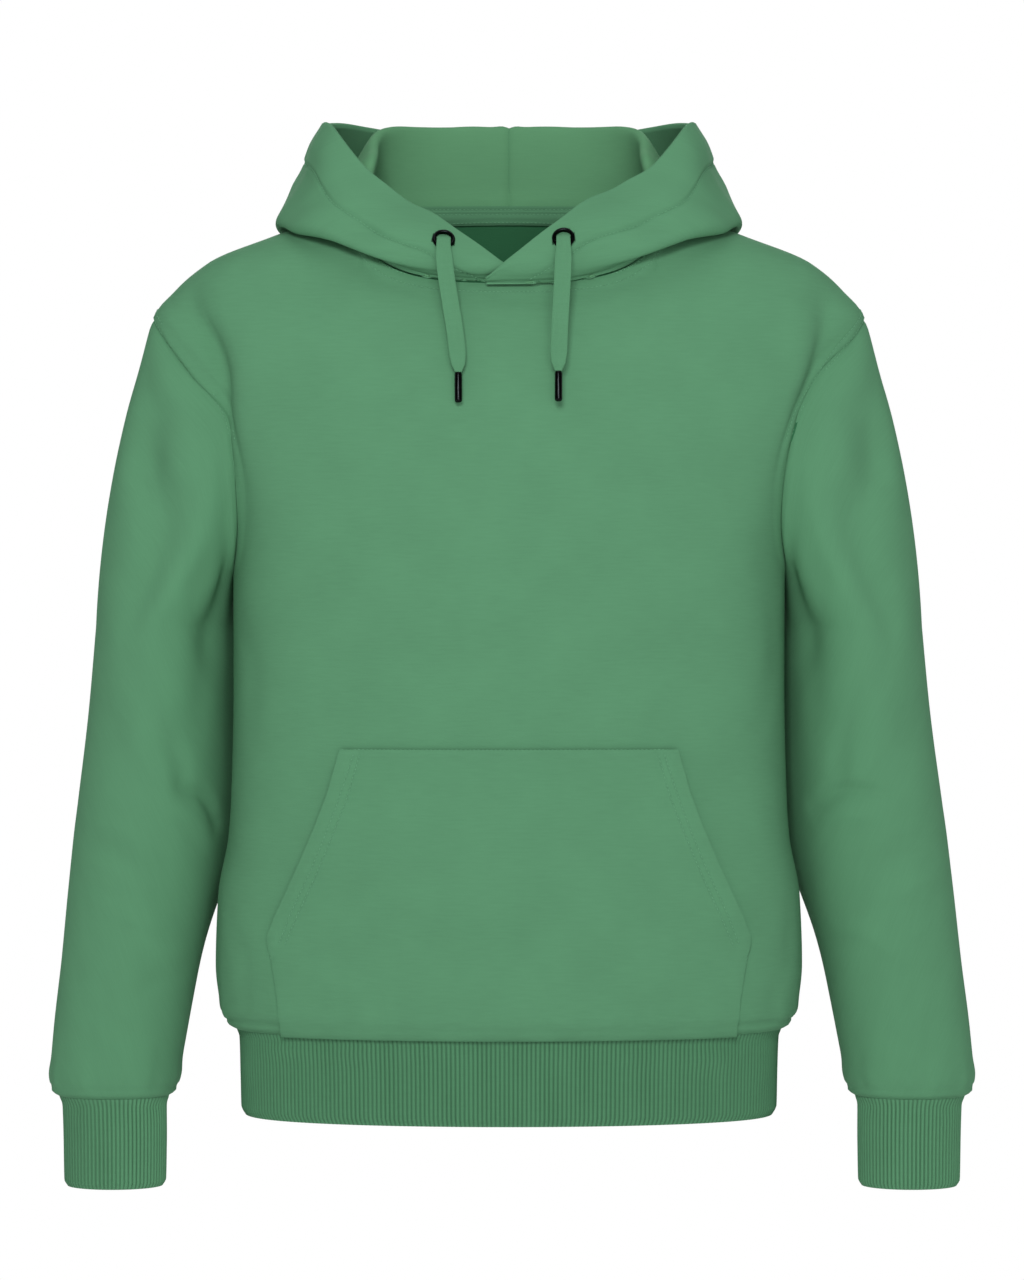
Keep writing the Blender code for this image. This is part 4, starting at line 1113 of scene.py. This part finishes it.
def makeHoodHalf(name, finish, liningFinish):
    grid, normals, toRim, stations = hoodBase(name)
    length = toRim[0] - toRim
    middle = (12 - stations)[None] * 22.0 + 0 * toRim
    sideRelief = (0.5 * bump(middle - 5, 4) - 1.1 * bump(middle, 1.5)) * smoothStep(toRim, 3, 16)
    channel = column(channelWidths, "width", stations)[None]
    fullness = smoothStep(stations, 0.2, 1.6)[None]
    outside = 2.4 * bump(toRim - channel / 2, channel / 2.3) - 2.0 * bump(toRim - channel, 1.9)
    outside -= (1.2 * smoothStep(toRim, channel - 1, channel + 4)
                * (1 - smoothStep(toRim, channel + 5, channel + 24)))
    outside = outside * fullness + sideRelief
    outside += 0.9 * bump(length - 4.5, 3.5) - 0.6 * bump(length, 1.5)
    outer = grid + outside[..., None] * normals
    centre, axis = eyeletSeat(name, outer, normals)
    radius = (hood["rimRadius"] * (0.22 + 0.78 * smoothStep(stations, -0.5, 0.6)))[:, None]
    onward = unit(outer[-1] - outer[-3])
    across = unit(np.cross(normals[-1], np.cross(onward, normals[-1])))
    arc = np.linspace(0, np.pi, 12)[1:-1]
    turnRows = [outer[-1] - radius * normals[-1]
                + radius * (math.cos(a) * normals[-1] + math.sin(a) * across)
                for a in arc]
    steps = int(round(hood["rimRows"] * hood["turnedIn"] / hood["rimReach"]))
    puff = 1.1 * np.sin(np.pi * np.linspace(0, 1, steps + 1)) ** 0.8
    returned = [grid[-1 - k] - (2.05 + 0.13 * puff[k]) * radius * normals[-1 - k]
                for k in range(steps + 1)]
    whole = np.concatenate([outer, np.array(turnRows), np.array(returned)])
    run = runAlong(whole)
    uv = np.stack([np.broadcast_to(stations * 22.0, run.shape), run], axis=-1)
    lining = grid - hood["liningAt"] * normals
    liningRelief = 0.6 * bump(middle - 5, 3.5) - 1.6 * bump(middle, 1.6) + 0.9 * bump(length - 5, 3)
    lining = lining - np.clip(liningRelief, -1.2, 2)[..., None] * normals
    last = hood["lowRows"] + hood["rimRows"] - steps + 1
    first = int(np.argmax(stations > hood["liningFrom"]))
    lining = lining[:last, first:]
    liningUv = np.stack([np.broadcast_to(stations[first:] * 22.0, lining.shape[:2]),
                         length[:last, first:]],
                        axis=-1)
    channelLine = np.array([[np.interp(-channel[0, c], -toRim[:, c], outer[:, c, k]) for k in range(3)]
                            for c in range(len(stations)) if toRim[0, c] > channel[0, c] + 3])
    spots = (centre, axis)
    if name == "right":
        channelLine = mirrored(channelLine)
        whole, uv = mirrored(whole)[:, ::-1], uv[:, ::-1]
        lining, liningUv = mirrored(lining)[:, ::-1], liningUv[:, ::-1]
        spots = (mirrored(centre), mirrored(axis))
    piece = clothMesh("hood" + name.title(), whole, uv)
    clearHole(piece, spots[0], eyelet["hole"])
    thicken(piece, hood["cloth"])
    finishPiece(piece, finish, "green_fleece", "hood_" + name)
    inner = clothMesh("hoodLining" + name.title(), lining, liningUv)
    thicken(inner, hood["liningCloth"])
    finishPiece(inner, liningFinish, "green_lining", "hood_lining_" + name)
    print(name, "hood half made")
    return piece, whole, inner, lining, spots, channelLine


# Materials

cloth = {
    # lining is the lining's own colour, lightened as painted light on the nape
    # shadedWaistRib is the rib colour darkened as painted shade for the waistband's place under the
    # pocket
    "fleece": "#528462", "cuffRib": "#4F815F", "shadedWaistRib": "#497A59", "lining": "#568963",
    # inside: the fleece colour darkened as painted shade for the hollow inside the body
    "inside": "#2C6140",
    "braid": "#518361", "thread": "#5E9270", "metal": "#17191A", "paler": "#5C9470",
}


def clothFinish(name, colour, streaks, knit, sheen, roughness, ribs=None):
    # knitted cotton: a matte cloth with faint level slubs, a soft mottle, a fine knit grain and
    # a little nap that lightens it where it turns away
    made = bpy.data.materials.new(name)
    made.use_nodes = True
    tree = made.node_tree
    shader = tree.nodes["Principled BSDF"]
    place = addNode(tree, "ShaderNodeUVMap", uv_map="cloth")
    slubs = addNode(tree, "ShaderNodeMapping", [(place.outputs["UV"], "Vector")])
    slubs.inputs["Scale"].default_value = (1 / 0.016, 1 / 0.0016, 1)
    slubNoise = addNode(tree, "ShaderNodeTexNoise", [(slubs.outputs["Vector"], "Vector")])
    slubNoise.inputs["Scale"].default_value = 1.0
    slubNoise.inputs["Detail"].default_value = 3.0
    mottle = addNode(tree, "ShaderNodeTexNoise", [(place.outputs["UV"], "Vector")])
    mottle.inputs["Scale"].default_value = 1 / 0.045
    mottle.inputs["Detail"].default_value = 2.0
    both = addNode(tree, "ShaderNodeMath", [(slubNoise.outputs["Fac"], 0), (mottle.outputs["Fac"], 1)],
                   operation="ADD")
    tone = addNode(tree, "ShaderNodeMapRange", [(both.outputs["Value"], "Value")])
    tone.inputs["From Min"].default_value = 0.7
    tone.inputs["From Max"].default_value = 1.3
    tone.inputs["To Min"].default_value = 1 - streaks
    tone.inputs["To Max"].default_value = 1 + streaks
    # painted shade in the hollows between ribs and painted highlight on their tops, over the ribs the
    # mesh already has
    if ribs:    # the hollow between two ribs is darker than their tops
        parts = addNode(tree, "ShaderNodeSeparateXYZ", [(place.outputs["UV"], 0)])
        phase = addNode(tree, "ShaderNodeMath", [(parts.outputs["X"], 0)], operation="MULTIPLY")
        phase.inputs[1].default_value = math.pi / (ribs * mm)
        wave = addNode(tree, "ShaderNodeMath", [(phase.outputs["Value"], 0)], operation="SINE")
        height = addNode(tree, "ShaderNodeMath", [(wave.outputs["Value"], 0)], operation="ABSOLUTE")
        depth = addNode(tree, "ShaderNodeMapRange", [(height.outputs["Value"], "Value")])
        depth.inputs["To Min"].default_value, depth.inputs["To Max"].default_value = 0.66, 1.1
        tone = addNode(tree, "ShaderNodeMath", [(tone.outputs["Result"], 0),
                                                (depth.outputs["Result"], 1)],
                       operation="MULTIPLY")
    base = addNode(tree, "ShaderNodeRGB")
    base.outputs["Color"].default_value = linear(colour)
    shade = addNode(tree, "ShaderNodeVectorMath",
                    [(base.outputs["Color"], 0), (tone.outputs[0], "Scale")], operation="SCALE")
    tree.links.new(shade.outputs["Vector"], shader.inputs["Base Color"])
    grain = addNode(tree, "ShaderNodeMapping", [(place.outputs["UV"], "Vector")])
    grain.inputs["Scale"].default_value = (1 / 0.0024, 1 / 0.0011, 1)
    grainNoise = addNode(tree, "ShaderNodeTexNoise", [(grain.outputs["Vector"], "Vector")])
    grainNoise.inputs["Scale"].default_value = 1.0
    grainNoise.inputs["Detail"].default_value = 2.0
    relief = addNode(tree, "ShaderNodeBump", [(grainNoise.outputs["Fac"], "Height")])
    relief.inputs["Strength"].default_value = 1.0
    relief.inputs["Distance"].default_value = knit * mm
    tree.links.new(relief.outputs["Normal"], shader.inputs["Normal"])
    shader.inputs["Roughness"].default_value = roughness
    shader.inputs["Specular IOR Level"].default_value = 0.15
    shader.inputs["Sheen Weight"].default_value = sheen
    shader.inputs["Sheen Roughness"].default_value = 0.45
    shader.inputs["Sheen Tint"].default_value = linear(cloth["paler"])
    return made


def metalFinish():    # blackened zinc: near-black and smooth, with narrow bright edges
    made = bpy.data.materials.new("blackenedZinc")
    made.use_nodes = True
    shader = made.node_tree.nodes["Principled BSDF"]
    shader.inputs["Base Color"].default_value = linear(cloth["metal"])
    shader.inputs["Metallic"].default_value = 1.0
    shader.inputs["Roughness"].default_value = 0.24
    return made


fleece = clothFinish("cottonFleece", cloth["fleece"], 0.045, 0.10, 0.08, 0.95)
cuffRib = clothFinish("cuffRibKnit", cloth["cuffRib"], 0.03, 0.08, 0.12, 0.92, cuff["ribPitch"])
# the waistband's rib: darker than the cuffs as painted shade under the pocket
shadedWaistRib = clothFinish("shadedWaistRibKnit", cloth["shadedWaistRib"], 0.03, 0.08, 0.12, 0.92, waistband["ribPitch"])
# the hood lining: its own colour, lightened as painted light on the nape
liningKnitPaintedLight = clothFinish("liningKnitPaintedLight", cloth["lining"], 0.03, 0.08, 0.15, 0.92)
# the panels' inner faces: a darker copy of the fleece, painted shade for the body's hollow inside
shadePainted = clothFinish("shadePaintedInside", cloth["inside"], 0.03, 0.15, 0.1, 0.95)
braid = clothFinish("cottonBraid", cloth["braid"], 0.03, 0.12, 0.15, 0.9)
thread = clothFinish("sewingThread", cloth["thread"], 0.0, 0.0, 0.1, 0.8)
metal = metalFinish()


# Drawcord, eyelets and tips

cord = {"width": 13.0, "thickness": 2.6, "around": 40, "rows": 300, "strand": 2.5, "relief": 0.24}
cordRoute = (("forward", "down", "width"), (
    (-2.7, -6.0, 0.84),
    (-1.9, -4.0, 0.84),
    (0.3, -1.4, 0.84),
    (3.2, 0.6, 0.82),
    (6.6, 4.0, 0.85),
    (9.0, 9.0, 0.92),
    (10.8, 16.5, 1.0),
    (12.7, 30, 1.0),
    (14.7, 50, 1.0),
    (17.7, 70, 1.0),
    (20.3, 86, 1.0),
    (22.2, 96, 0.84),
    (22.8, 101.5, 0.5),
    (23.0, 103.0, 0.42),
))
cordSwing = {"left": -4.0, "right": 11.5}
tip = {"radius": 2.9, "length": 23.5, "bevel": 2.0}


def cordLine(name, centre, axis):
    rows = cordRoute[1]
    forward, down, width = (np.array([row[k] for row in rows], float) for k in range(3))
    drop = np.clip(down / down[-1], 0, 1)
    swing = cordSwing[name] * drop * drop * (3 - 2 * drop)
    hung = np.stack([swing, -forward, -down], axis=-1)
    up = unit(np.array([0, 0, 1.0]) - axis[2] * axis)    # the first of it follows the eyelet's own axis
    through = forward[:, None] * axis - down[:, None] * up
    own = (1 - smoothStep(forward, 0.5, 6.7))[:, None]
    points = np.asarray(centre) + own * through + (1 - own) * hung
    along = runAlong(points)
    even = np.linspace(0, along[-1], cord["rows"])
    line = np.stack([smoothCurve(even, along, points[:, k]) for k in range(3)], axis=-1)
    return line, smoothCurve(even, along, width), even


def makeCord(name, centre, axis):
    line, share, along = cordLine(name, centre, axis)
    onward = unit(np.gradient(line, axis=0))
    turn = math.radians({"left": -9, "right": 7}[name])
    sideWay = np.array([math.cos(turn), math.sin(turn), 0.0])
    sideWay = unit(sideWay - (onward @ sideWay)[:, None] * onward)
    front = unit(np.cross(sideWay, onward))
    angle = 2 * np.pi * np.arange(cord["around"]) / cord["around"]
    flatness = 0.62
    across = np.sign(np.cos(angle)) * np.abs(np.cos(angle)) ** 0.9
    depth = np.sign(np.sin(angle)) * np.abs(np.sin(angle)) ** flatness
    width = cord["width"] / 2 * share
    thick = cord["thickness"] / 2 * (1 + 0.55 * (1 - share))
    place = across[None] * width[:, None]
    strand = along[:, None] / cord["strand"]
    lean = place / cord["strand"]
    weave = np.cos(2 * np.pi * (strand + lean)) * np.cos(2 * np.pi * (strand - lean))
    faces = np.sign(depth)[None] * (np.abs(depth) > 0.5)
    grow = thick[:, None] * depth[None] + cord["relief"] * weave * faces
    grid = line[:, None] + place[..., None] * sideWay[:, None] + grow[..., None] * front[:, None]
    around = np.append(angle, 2 * np.pi) * cord["width"] / np.pi
    uv = np.stack(np.broadcast_arrays(around[None], along[:, None]), axis=-1)
    piece = clothMesh("freeCord" + name.title(), grid[:, ::-1], uv, around=True)
    useOnly(piece)
    bpy.ops.object.mode_set(mode="EDIT")
    bpy.ops.mesh.select_all(action="DESELECT")
    bpy.ops.mesh.select_mode(type="EDGE")
    bpy.ops.mesh.select_non_manifold()
    bpy.ops.mesh.edge_face_add()
    bpy.ops.mesh.select_all(action="SELECT")
    bpy.ops.mesh.normals_make_consistent(inside=False)
    bpy.ops.object.mode_set(mode="OBJECT")
    bpy.ops.object.shade_smooth_by_angle(angle=math.radians(60))
    finishPiece(piece, braid, "green_braid", "drawcord_" + name)
    return piece, line


def settle(piece):    # puts the finished mesh in the shared frame: at the origin, unturned, unscaled
    useOnly(piece)
    bpy.ops.object.transform_apply(location=True, rotation=True, scale=True)
    bpy.ops.object.shade_smooth_by_angle(angle=math.radians(40))


def makeTip(name, line):
    way = unit(line[-1] - line[-6])
    middle = line[-1] + tip["length"] / 2 * way
    deselectAll()
    bpy.ops.mesh.primitive_cylinder_add(
        vertices=48, radius=tip["radius"] * mm, depth=tip["length"] * mm, location=Vector(middle) * mm,
        rotation=Vector(way).to_track_quat("Z", "Y").to_euler())
    piece = bpy.context.object
    piece.name = "cordTip" + name.title()
    edge = piece.modifiers.new("roundEnds", "BEVEL")
    edge.width = tip["bevel"] * mm
    edge.segments = 5
    edge.limit_method = "ANGLE"
    edge.angle_limit = math.radians(60)
    bpy.ops.object.modifier_apply(modifier="roundEnds")
    settle(piece)
    finishPiece(piece, metal, "gunmetal", "tip_" + name)
    return piece


def makeEyelet(name, centre, axis):
    turn = Vector(axis).to_track_quat("Z", "Y").to_euler()
    seat = np.asarray(centre) + eyelet["lift"] * axis
    deselectAll()
    ring = (eyelet["flange"] + eyelet["opening"]) / 2
    bpy.ops.mesh.primitive_torus_add(
        location=Vector(seat + 0.2 * axis) * mm, rotation=turn, major_segments=72, minor_segments=20,
        major_radius=ring * mm, minor_radius=(eyelet["flange"] - eyelet["opening"]) / 2 * mm)
    piece = bpy.context.object
    deselectAll()
    bpy.ops.mesh.primitive_cylinder_add(
        vertices=72, radius=(eyelet["opening"] + 0.4) * mm, depth=1.6 * mm, end_fill_type="NOTHING",
        location=Vector(seat - 0.8 * axis) * mm, rotation=turn)
    barrel = bpy.context.object
    wall = barrel.modifiers.new("wall", "SOLIDIFY")
    wall.thickness = 0.5 * mm
    wall.offset = -1
    bpy.ops.object.modifier_apply(modifier="wall")
    piece.select_set(True)
    bpy.context.view_layer.objects.active = piece
    bpy.ops.object.join()
    piece.name = "cordEyelet" + name.title()
    settle(piece)
    finishPiece(piece, metal, "gunmetal", "eyelet_" + name)
    return piece


# Stitching

stitch = {"pitch": 3.3, "length": 2.4, "radius": 0.42, "raise": 0.12}


def makeStitches(name, piece, paths, wider=1.0):
    # one small rounded stitch shape, copied along the lines and laid on the cloth
    deselectAll()
    bpy.ops.mesh.primitive_uv_sphere_add(segments=6, ring_count=4, radius=1.0)
    shape = bpy.context.object
    vertices = np.array([v.co for v in shape.data.vertices])
    faces = [tuple(p.vertices) for p in shape.data.polygons]
    bpy.data.objects.remove(shape, do_unlink=True)
    mesh = piece.data
    tree = BVHTree.FromPolygons([v.co for v in mesh.vertices],
                                [tuple(p.vertices) for p in mesh.polygons])
    points, polygons = [], []
    for path in paths:
        count = max(int(pathLength(path) / stitch["pitch"]), 2)
        spots = resample(path, count + 1)
        for k in range(count):
            middle = (spots[k] + spots[k + 1]) / 2
            place, normal, _, gap = tree.find_nearest(Vector(middle) * mm)
            if place is None or gap > 0.006:
                continue
            normal = np.array(normal)
            way = unit(spots[k + 1] - spots[k])
            way = unit(way - (way @ normal) * normal)
            side = np.cross(normal, way)
            size = stitch["radius"] * wider
            local = (vertices[:, :1] * way * stitch["length"] / 2 + vertices[:, 1:2] * side * size
                     + vertices[:, 2:] * normal * size)
            centre = np.array(place) / mm + stitch["raise"] * normal
            polygons += [tuple(i + len(points) for i in face) for face in faces]
            points += (local + centre).tolist()
    made = bpy.data.meshes.new(name)
    made.from_pydata((np.array(points) * mm).tolist(), [], polygons)
    made.shade_smooth()
    made.uv_layers.new(name="cloth")
    done = bpy.data.objects.new(name, made)
    bpy.context.scene.collection.objects.link(done)
    finishPiece(done, thread, "green_fleece")
    return done


def insetLine(grid, edge, distance):    # a line on the cloth, its distance in from a seam
    away = edgeDistance(grid, edge)
    line = []
    for spot, ahead in zip(edge[:-1:2], edge[1::2]):
        near = np.linalg.norm(grid - spot, axis=-1) < distance + 14
        points, gaps = grid[near], away[near]
        along = np.abs((points - spot) @ unit(ahead - spot))
        inside = (along < 6) & (np.abs(gaps - distance) < 4)
        if inside.sum() >= 3:
            weight = np.exp(-(along[inside] / 2.5) ** 2 - ((gaps[inside] - distance) / 1.6) ** 2) + 1e-9
            place = np.average(points[inside], axis=0, weights=weight)
            gap = np.average(gaps[inside], weights=weight)
            inward = unit(place - edge[np.argmin(np.linalg.norm(edge - place, axis=1))])
            line.append(place + (distance - gap) * inward)
    return resample(evened(np.array(line)), 160)


def evened(line):
    for k in range(6):
        line[1:-1] = (line[:-2] + 2 * line[1:-1] + line[2:]) / 4
    return line


# The hoodie

bodyParts = makeBody(fleece, shadePainted)
sleeves = {name: makeSleeve(name, fleece, bodyParts) for name in ("left", "right")}
cuffs = {name: makeCuff(name, cuffRib) for name in ("left", "right")}
waist = makeWaistband(shadedWaistRib)
pouch = makePocket(fleece, bodyParts["front"][1])
neckStrip = makeNeckTape(fleece)
hoods = {name: makeHoodHalf(name, fleece, liningKnitPaintedLight) for name in ("left", "right")}
cords = {}
for name in ("left", "right"):
    centre, axis = hoods[name][4]
    ring = makeEyelet(name, centre, axis)
    strand, line = makeCord(name, centre, axis)
    end = makeTip(name, line)
    cords[name] = (strand, line, ring, end)
    print(name, "cord and metalware made")

seams = {side: seamPaths(bodyParts[side][2]) for side in ("front", "back")}
for side in ("front", "back"):
    piece, grid = bodyParts[side][:2]
    paths = []
    for edge, distances in (("armhole", (3.0, 9.0)), ("neck", (2.8, 8.8))):
        for distance in distances:
            line = insetLine(grid, seams[side][edge], distance)
            if side == "front" and edge == "armhole":    # lower down the seam lies deep in its fold
                line = line[line[:, 2] > -186]
            paths += [line, mirrored(line)]
    makeStitches(side + "Topstitch", piece, paths)
edges = pocketEdges()
openings = [insetLine(pouch[1], edges["opening"], pocket["hem"] + more) for more in (0, 4)]
low = insetLine(pouch[1], edges["side"], 2.2)
top = insetLine(pouch[1], edges["top"], 2.6)
pocketLines = openings + [low, top] + [mirrored(p) for p in openings + [low]]
makeStitches("pocketTopstitch", pouch[0], pocketLines, 1.1)
for name in ("left", "right"):
    makeStitches("hoodTopstitch" + name.title(), hoods[name][0], [hoods[name][5]])
makeStitches("tapeTopstitch", neckStrip[0], [neckStrip[1][4], neckStrip[1][13], neckStrip[1][20]])
print("stitching made")

for side in ("front", "back"):
    piece, grid = bodyParts[side][:2]

low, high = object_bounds()
